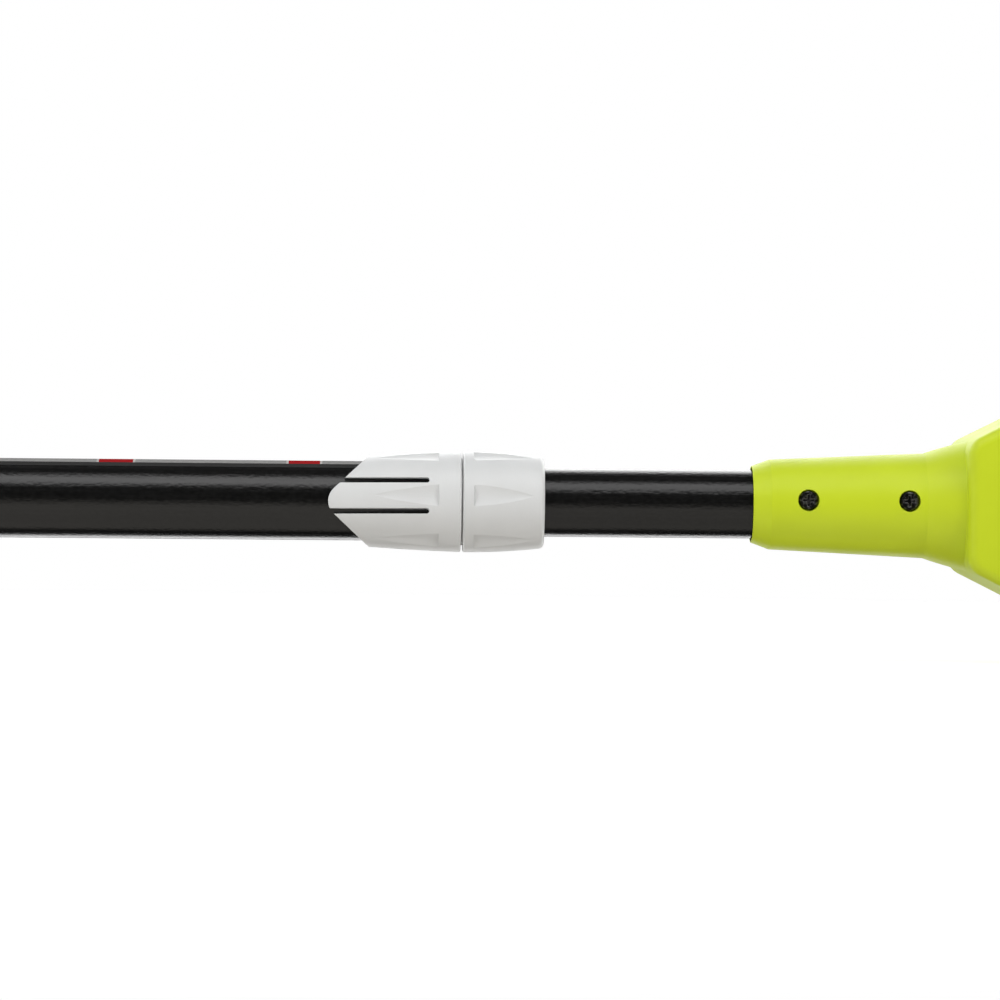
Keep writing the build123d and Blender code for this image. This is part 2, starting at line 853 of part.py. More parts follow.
def drive_sprocket():
    """Star sprocket with a hub, outside the casing in the plane of the bar."""
    turn = 2 * math.pi / sprocket_teeth
    tooth, flank = sprocket_tooth_share, sprocket_flank_share
    corners = ((0, sprocket_tip_r), (tooth, sprocket_tip_r), (tooth + flank, sprocket_root_r),
               (1 - flank, sprocket_root_r))
    points = []
    for k in range(sprocket_teeth):
        for share, r in corners:
            a = (k + share) * turn
            points.append((sprocket_x + r * math.cos(a), r * math.sin(a)))
    star = slab(side_face(points), bar_mid_y - sprocket_width / 2, bar_mid_y + sprocket_width / 2)
    hub_y = bar_mid_y - bar_thickness + sprocket_hub_end
    hub = cyl_y(gear_shaft_r + sprocket_hub_wall, hub_y, pocket_floor - run_gap, sprocket_x)
    return star + hub - cyl_y(gear_shaft_r + seat_gap, cover_y, 0, sprocket_x)


def bearing(y0, x, z, bore_r):
    ring = cyl_y(bearing_r, y0, y0 + bearing_width, x, z)
    return ring - cyl_y(bore_r + shaft_gap, y0 - cut_over, y0 + bearing_width + cut_over, x, z)


def shaft_bearings():
    front = bearing(bearing_y0, sprocket_x, 0, gear_shaft_r)
    rear = bearing(plate_y0 + (gear_plate_thickness - bearing_width) / 2, sprocket_x, 0, gear_shaft_r)
    return Compound(children=[front, rear])


def gear_plate():
    """Aluminium plate that carries the motor and the inner bearing of the sprocket's shaft."""
    x0, x1 = head_x + motor_x - motor_r, sprocket_x + bearing_r + gear_plate_margin
    z0, z1 = motor_z - motor_r, motor_z + motor_r
    face = side_face(((x0, z0), (x0, z1), (x1, z1), (x1, z0)), gear_plate_margin)
    plate = slab(face, plate_y0, plate_y1)
    seat = plate_y0 + (gear_plate_thickness - bearing_width) / 2
    below, above = plate_y0 - cut_over, plate_y1 + cut_over
    plate -= cyl_y(bearing_r + seat_gap, seat - seat_gap, seat + bearing_width + seat_gap, sprocket_x)
    plate -= cyl_y(gear_shaft_r + run_gap, below, above, sprocket_x)
    pinion_tip = gear_module * (pinion_teeth / 2 + gear_addendum)
    return plate - cyl_y(pinion_tip + pinion_clear, below, above, head_x + motor_x, motor_z)


def motor_can():
    """Steel motor can with closed ends and a hole at each end for the rotor's shaft."""
    x = head_x + motor_x
    can = cyl_y(motor_r, plate_y1, motor_y1, x, motor_z)
    can = fillet(can.edges().filter_by(GeomType.CIRCLE).sort_by(Axis.Y)[-1], motor_wall)
    can -= cyl_y(motor_r - motor_wall, plate_y1 + motor_wall, motor_y1 - motor_wall, x, motor_z)
    return can - cyl_y(motor_shaft_r + shaft_gap, plate_y1 - cut_over, motor_y1 + cut_over, x, motor_z)


def motor_rotor():
    x = head_x + motor_x
    middle = (plate_y1 + motor_y1) / 2
    core = cyl_y(armature_r, middle - armature_length / 2, middle + armature_length / 2, x, motor_z)
    return core + cyl_y(motor_shaft_r, pinion_y0, motor_y1 + motor_shaft_end, x, motor_z)


def motor_pinion():
    y0, y1 = pinion_y0, pinion_y0 + pinion_width
    x = head_x + motor_x
    pinion = spur_gear(pinion_teeth, x, motor_z, y0, y1, gear_angle + 180 / pinion_teeth)
    return pinion - cyl_y(motor_shaft_r + seat_gap, y0 - cut_over, y1 + cut_over, x, motor_z)


def belly_arc():
    """Radius of the bar's long edges on the rivet line, and half the angle that each spans."""
    end, half_span, top = chain_end_r, bar_centres / 2, chain_end_r + bar_belly
    radius = (half_span**2 + top**2 - end**2) / (2 * bar_belly)
    return radius, math.asin(half_span / (radius - end))


def chain_loop_length():
    radius, half_angle = belly_arc()
    return 2 * (math.pi - 2 * half_angle) * chain_end_r + 4 * half_angle * radius


def chain_pitch():
    return chain_loop_length() / (2 * drive_link_count)


def chain_point(s):
    """Point and direction, in degrees from +X towards +Z, at length s along the rivet line.

    It starts over the sprocket and runs forward on top, round the nose and back below.
    """
    radius, half_angle = belly_arc()
    long_run = 2 * half_angle * radius
    end_run = (math.pi - 2 * half_angle) * chain_end_r
    s = s % (2 * (long_run + end_run))
    under = s >= long_run + end_run
    s -= (long_run + end_run) if under else 0
    mid_x = (sprocket_x + nose_x) / 2
    if s < long_run:
        a = math.pi / 2 + half_angle - s / radius
        x, z = radius * math.cos(a), radius * math.sin(a) - (radius - chain_end_r - bar_belly)
    else:
        a = math.pi / 2 - half_angle - (s - long_run) / chain_end_r
        x, z = bar_centres / 2 + chain_end_r * math.cos(a), chain_end_r * math.sin(a)
    sign = -1 if under else 1
    return mid_x + sign * x, sign * z, math.degrees(a) - 90 + (180 if under else 0)


def bar_face(inset):
    """Side outline of the guide bar, inside the rivet line by inset, round at nose and tail."""
    radius, half_angle = belly_arc()
    end_r = chain_end_r - inset
    mid_x = (sprocket_x + nose_x) / 2
    tip_z = end_r * math.cos(half_angle)
    nose_edge = nose_x + end_r * math.sin(half_angle)
    tail_x = sprocket_x + bar_tail_gap
    long_r = radius - inset
    centre_z = radius - chain_end_r - bar_belly
    tail_z = math.sqrt(long_r**2 - (tail_x - mid_x) ** 2) - centre_z
    top_z = long_r - centre_z
    top = ThreePointArc((tail_x, 0, tail_z), (mid_x, 0, top_z), (nose_edge, 0, tip_z))
    nose = ThreePointArc((nose_edge, 0, tip_z), (nose_x + end_r, 0, 0), (nose_edge, 0, -tip_z))
    low = ThreePointArc((nose_edge, 0, -tip_z), (mid_x, 0, -top_z), (tail_x, 0, -tail_z))
    return make_face(top + nose + low + Line((tail_x, 0, -tail_z), (tail_x, 0, tail_z)))


def guide_bar():
    """Bar with its chain groove, nose slot, stud slot and tensioner hole."""
    bar = slab(bar_face(rail_offset), bar_inner_y - bar_thickness, bar_inner_y)
    groove = slab(bar_face(rail_offset - cut_over), bar_mid_y - bar_groove / 2, bar_mid_y + bar_groove / 2)
    groove -= slab(bar_face(rail_offset + bar_groove_depth), -cover_depth - head_right, 0)
    bar -= groove
    thick = nose_slot / 2
    slot_room = cyl_y(nose_sprocket_r + loose_gap, bar_mid_y - thick, bar_mid_y + thick, nose_x)
    slot_room -= cyl_y(nose_pin_r, bar_mid_y - bar_thickness, bar_mid_y + bar_thickness, nose_x)
    bar -= slot_room
    x0 = stud_x - stud_slot_length / 2
    x1 = stud_x + stud_slot_length / 2
    wide = stud_r + loose_gap
    bar -= block(x0, x1, cover_y, 0, -wide, wide)
    for x in (x0, x1):
        bar -= cyl_y(wide, cover_y, 0, x)
    return bar - cyl_y(tension_peg_r + loose_gap, cover_y, 0, tension_peg_x, tension_z)


def nose_sprocket():
    """Small star that turns on the bar's nose pin."""
    thick = (nose_slot - loose_gap) / 2
    y0, y1 = bar_mid_y - bar_thickness, bar_mid_y + bar_thickness
    star = cyl_y(nose_sprocket_r, bar_mid_y - thick, bar_mid_y + thick, nose_x)
    notch_r = nose_sprocket_r * math.sin(math.pi / nose_sprocket_teeth) * nose_notch_share
    for k in range(nose_sprocket_teeth):
        a = 2 * math.pi * k / nose_sprocket_teeth
        star -= cyl_y(notch_r, y0, y1, nose_x + nose_sprocket_r * math.cos(a), nose_sprocket_r * math.sin(a))
    return star - cyl_y(nose_pin_r + shaft_gap, y0, y1, nose_x)


def link_place(index):
    """Where link number index sits: midway between its two rivets, along the line through them."""
    pitch = chain_pitch()
    x0, z0, _ = chain_point(index * pitch)
    x1, z1, _ = chain_point((index + 1) * pitch)
    angle = math.degrees(math.atan2(z1 - z0, x1 - x0))
    return Pos((x0 + x1) / 2, bar_mid_y, (z0 + z1) / 2) * Rot(0, -angle, 0)


def drive_link():
    """Centre link: a plate with two rivet holes and a tang that runs in the bar's groove."""
    p = chain_pitch() / 2
    end, top = p + link_end, p + link_end - link_bevel
    face = side_face(((-end, -link_foot), (-end, link_shoulder), (-top, link_end), (top, link_end),
                      (end, link_shoulder), (end, -link_foot), (tang_half_width, -tang_depth),
                      (-tang_half_width, -tang_depth)))
    link = slab(face, -link_plate / 2, link_plate / 2)
    for x in (-p, p):
        link -= cyl_y(rivet_hole_r, -link_plate, link_plate, x)
    return link


def strap_points():
    """Side outline of a plain strap."""
    end = chain_pitch() / 2 + link_end
    top = end - strap_bevel
    return [(-end, -strap_drop), (-end, strap_shoulder), (-top, strap_rise), (top, strap_rise),
            (end, strap_shoulder), (end, -strap_drop)]


def cutter_points():
    """Strap with a depth gauge in front and a sharpened tooth behind; the chain runs towards +x."""
    end = chain_pitch() / 2 + link_end
    top, gauge = cutter_height, cutter_height - gauge_drop
    heel = end - strap_bevel
    gullet = cutter_edge_x - cutter_undercut
    gauge_front = end - strap_bevel
    gauge_back = gauge_front - gauge_width
    return [(-end, -strap_drop), (-end, strap_shoulder), (-heel, top - cutter_heel_drop), (cutter_edge_x, top),
            (gullet, gullet_floor + gullet_lip), (gullet + gullet_width, gullet_floor),
            (gauge_back - gullet_lip, strap_rise), (gauge_back, gauge), (gauge_front, gauge),
            (end, link_shoulder), (end, -strap_drop)]


def outer_link(cutter_side):
    """Two side plates riveted together; cutter_side is 0 for plain straps, or the cutter's side."""
    p = chain_pitch() / 2
    near = link_plate / 2 + link_side_gap
    far = near + strap_plate
    shapes = []
    for side in (-1, 1):
        points = cutter_points() if side == cutter_side else strap_points()
        shapes.append(slab(side_face(points), *sorted((side * near, side * far))))
    if cutter_side:
        heel, high, low = p + link_end - strap_bevel, cutter_height, cutter_height - cutter_roof
        edge_low = cutter_edge_x - cutter_undercut / 2
        roof = side_face(((-heel, high - cutter_heel_drop), (cutter_edge_x, high), (edge_low, low),
                          (-heel, low - cutter_heel_drop)))
        shapes.append(slab(roof, *sorted((-cutter_side * near, cutter_side * (far + cutter_overhang)))))
    for x in (-p, p):
        shapes.append(cyl_y(rivet_r, -far - rivet_head, far + rivet_head, x))
    link = shapes[0]
    for shape in shapes[1:]:
        link += shape
    return link


def chain_drive_links():
    link = drive_link()
    return Compound(children=[link_place(2 * i) * link for i in range(drive_link_count)])


def cutter_side_of(i):
    """0 for a plain strap, else the side that the cutter of outer link i is on."""
    if i % cutter_every:
        return 0
    return 1 if (i // cutter_every) % 2 else -1


def chain_outer_links(kind):
    """The outer links of one kind: 'straps' or 'cutters'."""
    shapes = {side: outer_link(side) for side in (-1, 0, 1)}
    found = []
    for i in range(drive_link_count):
        side = cutter_side_of(i)
        if (side != 0) == (kind == "cutters"):
            found.append(link_place(2 * i + 1) * shapes[side])
    return Compound(children=found)


def cover_block(inset, y0, y1):
    """The cover's outer or inner form: round behind the sprocket, square and open in front."""
    room = cover_half_height - inset
    front = head_front + inset
    form = block(sprocket_x, front, y0, y1, -room, room)
    return form + cyl_y(cover_rear_r - inset, y0, y1, sprocket_x)


def sprocket_cover():
    """Side cover over the sprocket, open in front for the bar, with a boss that clamps the bar."""
    body = cover_block(0.0, cover_y, -head_right - seat_gap)
    body = fillet(edges_at_y(body, cover_y), cover_round)
    body -= cover_block(cover_wall, cover_y + cover_wall, 0)
    boss_end = bar_inner_y - bar_thickness - seat_gap
    body += cyl_y(clamp_boss_r, cover_y + cover_wall / 2, boss_end, stud_x)
    return body - cyl_y(stud_r + loose_gap, cover_y - cut_over, 0, stud_x)


def bar_stud():
    """Stud that the bar hangs on, with a flange inside the casing."""
    x = stud_x
    y1 = -inner_right + stud_flange_thickness
    flange = cyl_y(stud_r * 2, -inner_right + seat_gap, y1, x)
    return flange + cyl_y(stud_r, cover_y - seat_gap - knob_height + knob_cap + stud_end_gap, y1, x)


def cover_knob():
    """Hand knob on the bar stud, with scalloped grip."""
    x = stud_x
    y1 = cover_y - seat_gap
    y0 = y1 - knob_height
    knob = cyl_y(knob_r, y0, y1, x)
    reach = knob_r + knob_lobe_out
    for k in range(knob_lobes):
        a = 2 * math.pi * k / knob_lobes
        knob -= cyl_y(knob_lobe_r, y0 - cut_over, y1 + cut_over, x + reach * math.cos(a), reach * math.sin(a))
    knob = fillet(edges_at_y(knob, y0), knob_round)
    return knob - cyl_y(stud_r + shaft_gap, y0 + knob_cap, y1 + cut_over, x)


def tension_room():
    """Channel in the right casing for the tensioner's screw and peg."""
    size = tension_channel / 2
    x0 = tension_peg_x - tension_reach - loose_gap
    x1 = head_front - tension_end_wall
    channel = block(x0, x1, -head_right - cut_over, tension_floor, tension_z - size, tension_z + size)
    return channel + cyl_x(tension_screw_r + run_gap, x0, head_front + cut_over, tension_y, tension_z)


def tension_screw():
    """Slotted screw along the bar that moves the tensioner's peg."""
    x0, x1 = tension_peg_x - tension_reach, head_front
    rod = cyl_x(tension_screw_r, x0, x1, tension_y, tension_z)
    half_slot, wide = driver_slot_width / 2, tension_channel
    slot = block(x1 - driver_slot_depth, x1 + cut_over, tension_y - wide, tension_y + wide,
                 tension_z - half_slot, tension_z + half_slot)
    return rod - slot


def tension_peg():
    """Block on the tensioner's screw, with a peg that goes into the bar."""
    x, long = tension_peg_x, tension_nut_length
    size = tension_channel / 2 - loose_gap
    nut = block(x - long / 2, x + long / 2, -head_right + seat_gap, tension_floor - loose_gap, tension_z - size,
                tension_z + size)
    peg_end = bar_inner_y - bar_thickness + loose_gap
    nut += cyl_y(tension_peg_r, peg_end, tension_y - tension_screw_r, x, tension_z)
    return nut - cyl_x(tension_screw_r + shaft_gap, x - long, x + long, tension_y, tension_z)


def tank_block(inset):
    x0, x1 = tank_back + inset, tank_front - inset
    y1 = head_left - head_wall - seat_gap - inset
    z = tank_half_height - inset
    return round_block(x0, x1, tank_y0 + inset, y1, -z, z, tank_round - inset / 2)


def oil_tank():
    """Translucent tank with a filler neck that comes up through the casing."""
    x, y = filler_x, filler_y
    rim = head_half_height + seat_gap
    tank = tank_block(0.0) + cyl_z(filler_r, 0, rim, x, y)
    return tank - tank_block(tank_wall) - cyl_z(filler_r - tank_wall, 0, rim + cut_over, x, y)


def oil_window_cut():
    """Slot in the left side through which the tank's level shows."""
    x0 = (tank_back + tank_front - window_length) / 2
    r = window_height / 2
    y0, y1 = head_left - head_wall - cut_over, head_left + cut_over
    cut = block(x0 + r, x0 + window_length - r, y0, y1, -r, r)
    for x in (x0 + r, x0 + window_length - r):
        cut += cyl_y(r, y0, y1, x)
    return cut


def oil_cap():
    """Ribbed screw cap with a plug that goes down the filler neck."""
    x, y = filler_x, filler_y
    z0 = head_half_height + run_gap
    z1 = z0 + oil_cap_height
    cap = cyl_z(oil_cap_r, z0, z1, x, y)
    cap = fillet(cap.edges().filter_by(GeomType.CIRCLE).sort_by(Axis.Z)[-1], oil_cap_round)
    for k in range(oil_cap_ribs):
        a = 2 * math.pi * k / oil_cap_ribs
        rx, ry = x + oil_cap_r * math.cos(a), y + oil_cap_r * math.sin(a)
        cap -= cyl_z(oil_cap_rib_r, z0 - cut_over, z1 - oil_cap_rim, rx, ry)
    return cap + cyl_z(filler_r - tank_wall - run_gap, z0 - oil_cap_plug, z0 + touch, x, y)


def hook_tongue_block(gap):
    """Tongue that holds the branch hook in the casing's floor."""
    x0, x1 = hook_back + hook_tongue_inset, hook_front - hook_tongue_inset
    wide = hook_tongue_width / 2 + gap
    z0, z1 = -head_half_height - cut_over, -head_half_height + hook_tongue
    return block(x0 - gap, x1 + gap, -wide, wide, z0, z1 + gap)


def branch_hook():
    """Hook under the head that pulls cut branches down; it is also the front foot."""
    x0, x1 = hook_back, hook_front
    top = -head_half_height - seat_gap
    base = -head_half_height - hook_flange
    foot = -head_half_height - hook_reach
    web = x1 - hook_web_inset
    points = ((x0, top), (x1, top), (x1, base), (web, base - hook_web_slope), (web, foot + hook_lip),
              (x1, foot + hook_lip - hook_lip_slope), (x1 + hook_tip, foot), (x0 + hook_heel, foot), (x0, base))
    hook = slab(side_face(points, hook_round), -hook_width / 2, hook_width / 2)
    return hook + hook_tongue_block(-loose_gap)


def handle_side_points(inset):
    """Corners of the rear handle's side outline, drawn in by inset, x running back from its mouth."""
    top, low, high = grip_top - inset, guard_bottom + inset, rear_block_top - inset
    front, back = handle_neck_length - handle_root + inset, handle_back - inset
    neck = handle_neck_r - handle_neck_step - inset
    knee = loop_back + inset
    return ((front, -neck), (front, neck), (front + handle_brow, top), (knee, top), (knee + handle_rise, high),
            (back, high), (back, low), (loop_front + guard_heel, low),
            (loop_front - guard_slope_x + inset, low + guard_slope_z))


def loop_points(grow):
    """Corners of the finger opening, grown by the wall around it."""
    x0, x1 = loop_front - grow, loop_back + grow
    z1, z0 = grip_bottom + grow, loop_bottom - grow
    return ((x0, z1), (x1, z1), (x1, z0), (x0 + loop_bevel, z0), (x0, z0 + loop_bevel))


def behind(points):
    """Handle corners, measured back from its mouth, as points with the mouth at the origin."""
    return [(-x, z) for x, z in points]


def on_pole(shape):
    """A shape made with the handle's mouth at the origin, moved to where the mouth is on the pole."""
    return Pos(handle_x, 0, 0) * shape


def handle_outer():
    """Neck and looped body of the handle as one solid, before it is hollowed and split."""
    side = handle_half_width
    body = slab(side_face(behind(handle_side_points(0.0)), handle_corner), -side, side)
    body -= slab(side_face(behind(loop_points(0.0)), loop_corner), -side - cut_over, side + cut_over)
    body = fillet(edges_at_y(body, -side, side), handle_round)
    neck = spun(behind(((0, 0), (0, handle_mouth_r), (handle_shoulder_x, handle_shoulder_r),
                        (handle_neck_length, handle_neck_r),
                        (handle_neck_length + handle_neck_tail, handle_neck_tail_r),
                        (handle_neck_length + handle_neck_tail, 0))))
    return on_pole(body + neck)


def handle_cavity():
    """Hollow of the handle: room for the switch, and the socket for the outer tube."""
    side = handle_half_width - handle_wall
    room = slab(side_face(behind(handle_side_points(handle_wall)), handle_inner_corner), -side, side)
    room -= slab(side_face(behind(loop_points(handle_wall)), loop_corner), -side - cut_over, side + cut_over)
    room = on_pole(room)
    bore = cyl_x(outer_r + seat_gap, outer_tube_rear - seat_gap, handle_x + cut_over)
    wall_x = outer_tube_rear - handle_wall
    high = 2 * grip_top
    stop = block(wall_x, handle_x, -side - cut_over, side + cut_over, -high, high)
    throat = cyl_x(inner_r - inner_tube_wall, wall_x - cut_over, outer_tube_rear)
    return (room - stop) + bore + throat


def handle_neck_radius(x):
    share = (x - handle_shoulder_x) / (handle_neck_length - handle_shoulder_x)
    return handle_shoulder_r + share * (handle_neck_r - handle_shoulder_r)


def handle_neck_seats():
    return [(handle_x - x, -handle_neck_radius(x) + counterbore_depth) for x in handle_neck_screws]


def handle_neck_length_of_screw():
    return 2 * handle_shoulder_r - counterbore_depth - cut_over


def handle_body_seat():
    return -handle_half_width + counterbore_depth


def handle_body_length_of_screw():
    return handle_half_width - counterbore_depth + screw_bite


def handle_shells():
    """Left and right halves of the rear handle, with bosses, slots and holes."""
    outer = handle_outer()
    shell = outer - handle_cavity()
    shell -= seam_groove(outer, Plane.XZ)
    reach = handle_half_width - handle_wall / 2
    for x, z in handle_body_screws:
        shell += cyl_y(boss_r, -reach, reach, handle_x - x, z)
    px, pz = trigger_pivot
    for x, y in handle_neck_seats():
        shell -= screw_hole(x, 0, y, -handle_neck_r - cut_over, handle_neck_length_of_screw())
    outside = -handle_half_width - cut_over
    for x, z in handle_body_screws:
        shell -= screw_hole(handle_x - x, z, handle_body_seat(), outside, handle_body_length_of_screw())
    shell -= cyl_y(trigger_pin_r + seat_gap, -reach, reach, handle_x - px, pz)
    slot = trigger_width / 2 + run_gap
    back, front = px + trigger_length + trigger_slot_back, px - trigger_slot_front
    low, high = grip_bottom - trigger_slot_over, grip_bottom + handle_wall + trigger_slot_over
    shell -= block(handle_x - back, handle_x - front, -slot, slot, low, high)
    shell -= lock_off_block(run_gap, grip_top - handle_wall - cut_over, grip_top + cut_over)
    return half(shell, 1), half(shell, -1)


def handle_screws():
    found = [screw(x, 0, y, handle_neck_length_of_screw()) for x, y in handle_neck_seats()]
    seat, length = handle_body_seat(), handle_body_length_of_screw()
    found += [screw(handle_x - x, z, seat, length) for x, z in handle_body_screws]
    return Compound(children=found)


def grip_section(grow, x, length):
    """A length of the grip's rounded section, grown all round."""
    mid = (grip_top + grip_bottom) / 2
    size = RectangleRounded(2 * handle_half_width + 2 * grow, grip_height + 2 * grow, handle_round + grow)
    return extrude(Plane(origin=(x, 0, mid), x_dir=(0, 1, 0), z_dir=(1, 0, 0)) * size, amount=length)


def handle_grip_pad():
    """Rubber sleeve round the grip, proud of the casing."""
    x0 = handle_x - grip_pad_start - grip_pad_length
    pad = grip_section(grip_pad_proud, x0, grip_pad_length)
    ends = pad.edges().group_by(Axis.X)
    pad = fillet(ends[0] + ends[-1], grip_pad_round)
    first = x0 + (grip_pad_length - (pad_groove_count - 1) * pad_groove_pitch - pad_groove_width) / 2
    for i in range(pad_groove_count):
        x = first + i * pad_groove_pitch
        ring = grip_section(grip_pad_proud + cut_over, x, pad_groove_width)
        pad -= ring - grip_section(grip_pad_proud - pad_groove_depth, x, pad_groove_width)
    return pad - grip_section(seat_gap, x0 - cut_over, grip_pad_length + 2 * cut_over)


def trigger():
    """Finger lever on a cross pin inside the front of the loop."""
    px, pz = trigger_pivot
    low, back, top = grip_bottom - trigger_drop, px + trigger_length, pz + trigger_top
    points = behind((
        (px - trigger_nose, top), (back, top - trigger_top_fall), (back, grip_bottom - trigger_tail_lip),
        (back - trigger_tail, grip_bottom - trigger_tail_drop), (px + trigger_pad, low),
        (px + trigger_toe, low + trigger_toe_rise), (px - trigger_toe, grip_bottom - trigger_front_drop),
    ))
    side = trigger_width / 2
    lever = slab(side_face(points, trigger_corner), -side, side)
    lever = on_pole(fillet(edges_at_y(lever, -side, side), trigger_round))
    return lever - cyl_y(trigger_pin_r + shaft_gap, -trigger_width, trigger_width, handle_x - px, pz)


def trigger_pin():
    px, pz = trigger_pivot
    reach = handle_half_width - handle_wall / 2 - seat_gap
    return cyl_y(trigger_pin_r, -reach, reach, handle_x - px, pz)


def trigger_switch():
    """Switch block behind the trigger, seated on the grip's floor."""
    px, _ = trigger_pivot
    x1 = handle_x - px - trigger_length - switch_set_back
    z0 = grip_bottom + handle_wall + seat_gap
    body = block(x1 - switch_length, x1, -switch_width / 2, switch_width / 2, z0, z0 + switch_height)
    return body + cyl_x(switch_button_r, x1 - touch, x1 + switch_button_out, 0, z0 + switch_height / 2)


def lock_off_block(gap, z0, z1):
    x = handle_x - lock_off_x
    return block(x - lock_off_length / 2 - gap, x + lock_off_length / 2 + gap, -lock_off_width / 2 - gap,
                 lock_off_width / 2 + gap, z0, z1)


def lock_off_button():
    """Safety button on top of the handle, kept in by a flange under the casing."""
    under = grip_top - handle_wall - loose_gap
    low = under - lock_off_flange
    cap = lock_off_block(0, low, grip_top + lock_off_proud)
    cap = fillet(cap.edges().filter_by(Axis.Z), lock_off_corner)
    cap = fillet(cap.edges().group_by(Axis.Z)[-1], lock_off_round)
    return cap + lock_off_block(lock_off_ledge, low, under)


def battery_rail():
    """T-shaped rail on the back of the handle that the battery slides down on."""
    x0 = handle_x - handle_back - rail_stem_depth - rail_flange_depth
    stem, flange, high = rail_stem_width / 2, rail_flange_width / 2, rail_half_height
    rail = block(x0, handle_x - handle_back - seat_gap, -stem, stem, -high, high)
    return rail + block(x0, x0 + rail_flange_depth, -flange, flange, -high, high)


def battery_contacts():
    """Three brass strips on the back of the rail."""
    x1 = handle_x - handle_back - rail_stem_depth - rail_flange_depth
    x0, wide, high = x1 - contact_thickness, contact_width / 2, rail_half_height - contact_end
    rows = [i * contact_pitch for i in (-1, 0, 1)]
    return Compound(children=[block(x0, x1, y - wide, y + wide, 0, high) for y in rows])


def battery_cases():
    """Front and rear halves of the battery's case, with the rail slot and the cell room."""
    side = battery_half_width
    x_front, x_back = handle_x - battery_front, handle_x - battery_back
    split = handle_x - battery_split
    case = round_block(x_back, x_front, -side, side, battery_bottom, battery_top, battery_round)
    case -= seam_groove(case, Plane(origin=(split, 0, 0), x_dir=(0, 1, 0), z_dir=(1, 0, 0)))
    groove_out = side + battery_grip_r - battery_grip_depth
    for i in range(battery_grip_count):
        z = battery_top - battery_grip_drop - i * battery_grip_pitch
        for y in (-groove_out, groove_out):
            case -= cyl_x(battery_grip_r, x_back + battery_grip_inset, x_front - battery_grip_inset, y, z)
    stem = rail_stem_width / 2 + run_gap
    flange = rail_flange_width / 2 + run_gap
    ledge = handle_x - handle_back - rail_stem_depth + run_gap
    floor = handle_x - slot_floor
    slot_top = rail_half_height + run_gap
    below = battery_bottom - cut_over
    case -= block(floor, x_front + cut_over, -stem, stem, below, slot_top)
    case -= block(floor, ledge, -flange, flange, below, slot_top)
    case -= cell_room()
    case -= latch_block(run_gap, battery_top - latch_depth - latch_travel - run_gap, battery_top + cut_over)
    big = 4 * battery_half_width
    front = case & block(split, split + big, -big, big, -big, big)
    rear = case & block(split - big, split, -big, big, -big, big)
    return front, rear


def cell_room():
    x0 = handle_x - battery_back + battery_wall
    x1 = handle_x - slot_floor - battery_wall
    side = cell_length / 2 + loose_gap
    high = (cell_rows - 1) * cell_pitch / 2 + cell_r + loose_gap
    return block(x0, x1, -side, side, battery_mid_z - high, battery_mid_z + high)


def battery_cells():
    cells = []
    for column in range(cell_columns):
        for row in range(cell_rows):
            x = handle_x - cell_first - column * cell_pitch
            z = battery_mid_z + (row - (cell_rows - 1) / 2) * cell_pitch
            cells.append(cyl_y(cell_r, -cell_length / 2, cell_length / 2, x, z))
    return Compound(children=cells)


def latch_block(gap, z0, z1):
    x1 = handle_x - battery_front - latch_set_back
    wide = latch_width / 2 + gap
    return block(x1 - latch_length - gap, x1 + gap, -wide, wide, z0, z1)


def battery_latch():
    """Release button in the top of the battery."""
    button = latch_block(0, battery_top - latch_depth, battery_top + latch_proud)
    button = fillet(button.edges().filter_by(Axis.Z), latch_corner)
    return fillet(button.edges().group_by(Axis.Z)[-1], latch_round)


def power_cable():
    """Coiled lead inside the poles, from the handle to the motor, drawn as its outer size."""
    start = outer_tube_rear - handle_wall + seat_gap
    coil_back = inner_tube_rear + slide_bush_length + coil_set_back
    coil_front = coil_back + coil_length
    cable = cyl_x(lead_r, start, coil_back, 0, -lead_drop) + cyl_x(coil_r, coil_back, coil_front)
    return cable + cyl_x(lead_r, coil_front, inner_tube_front + lead_tail, 0, -lead_drop)


def all_parts():
    head_left_shell, head_right_shell = head_shells()
    handle_left_shell, handle_right_shell = handle_shells()
    battery_front_case, battery_rear_case = battery_cases()
    return {
        "outer_tube": outer_tube(),
        "foregrip": foregrip(),
        "lock_sleeve": lock_sleeve(),
        "clamp_collet": clamp_collet(),
        "lock_nut": lock_nut(),
        "inner_tube": inner_tube(),
        "slide_bush": slide_bush(),
        "power_cable": power_cable(),
        "head_left_shell": head_left_shell,
        "head_right_shell": head_right_shell,
        "head_screws": head_screws(),
        "gear_plate": gear_plate(),
        "motor_can": motor_can(),
        "motor_rotor": motor_rotor(),
        "motor_pinion": motor_pinion(),
        "drive_gear": drive_gear(),
        "drive_shaft": drive_shaft(),
        "drive_sprocket": drive_sprocket(),
        "shaft_bearings": shaft_bearings(),
        "guide_bar": guide_bar(),
        "nose_sprocket": nose_sprocket(),
        "chain_drive_links": chain_drive_links(),
        "chain_tie_straps": chain_outer_links("straps"),
        "chain_cutters": chain_outer_links("cutters"),
        "sprocket_cover": sprocket_cover(),
        "bar_stud": bar_stud(),
        "cover_knob": cover_knob(),
        "tension_screw": tension_screw(),
        "tension_peg": tension_peg(),
        "oil_tank": oil_tank(),
        "oil_cap": oil_cap(),
        "branch_hook": branch_hook(),
        "handle_left_shell": handle_left_shell,
        "handle_right_shell": handle_right_shell,
        "handle_screws": handle_screws(),
        "handle_grip_pad": handle_grip_pad(),
        "trigger": trigger(),
        "trigger_pin": trigger_pin(),
        "trigger_switch": trigger_switch(),
        "lock_off_button": lock_off_button(),
        "battery_rail": battery_rail(),
        "battery_contacts": battery_contacts(),
        "battery_front_case": battery_front_case,
        "battery_rear_case": battery_rear_case,
        "battery_cells": battery_cells(),
        "battery_latch": battery_latch(),
    }


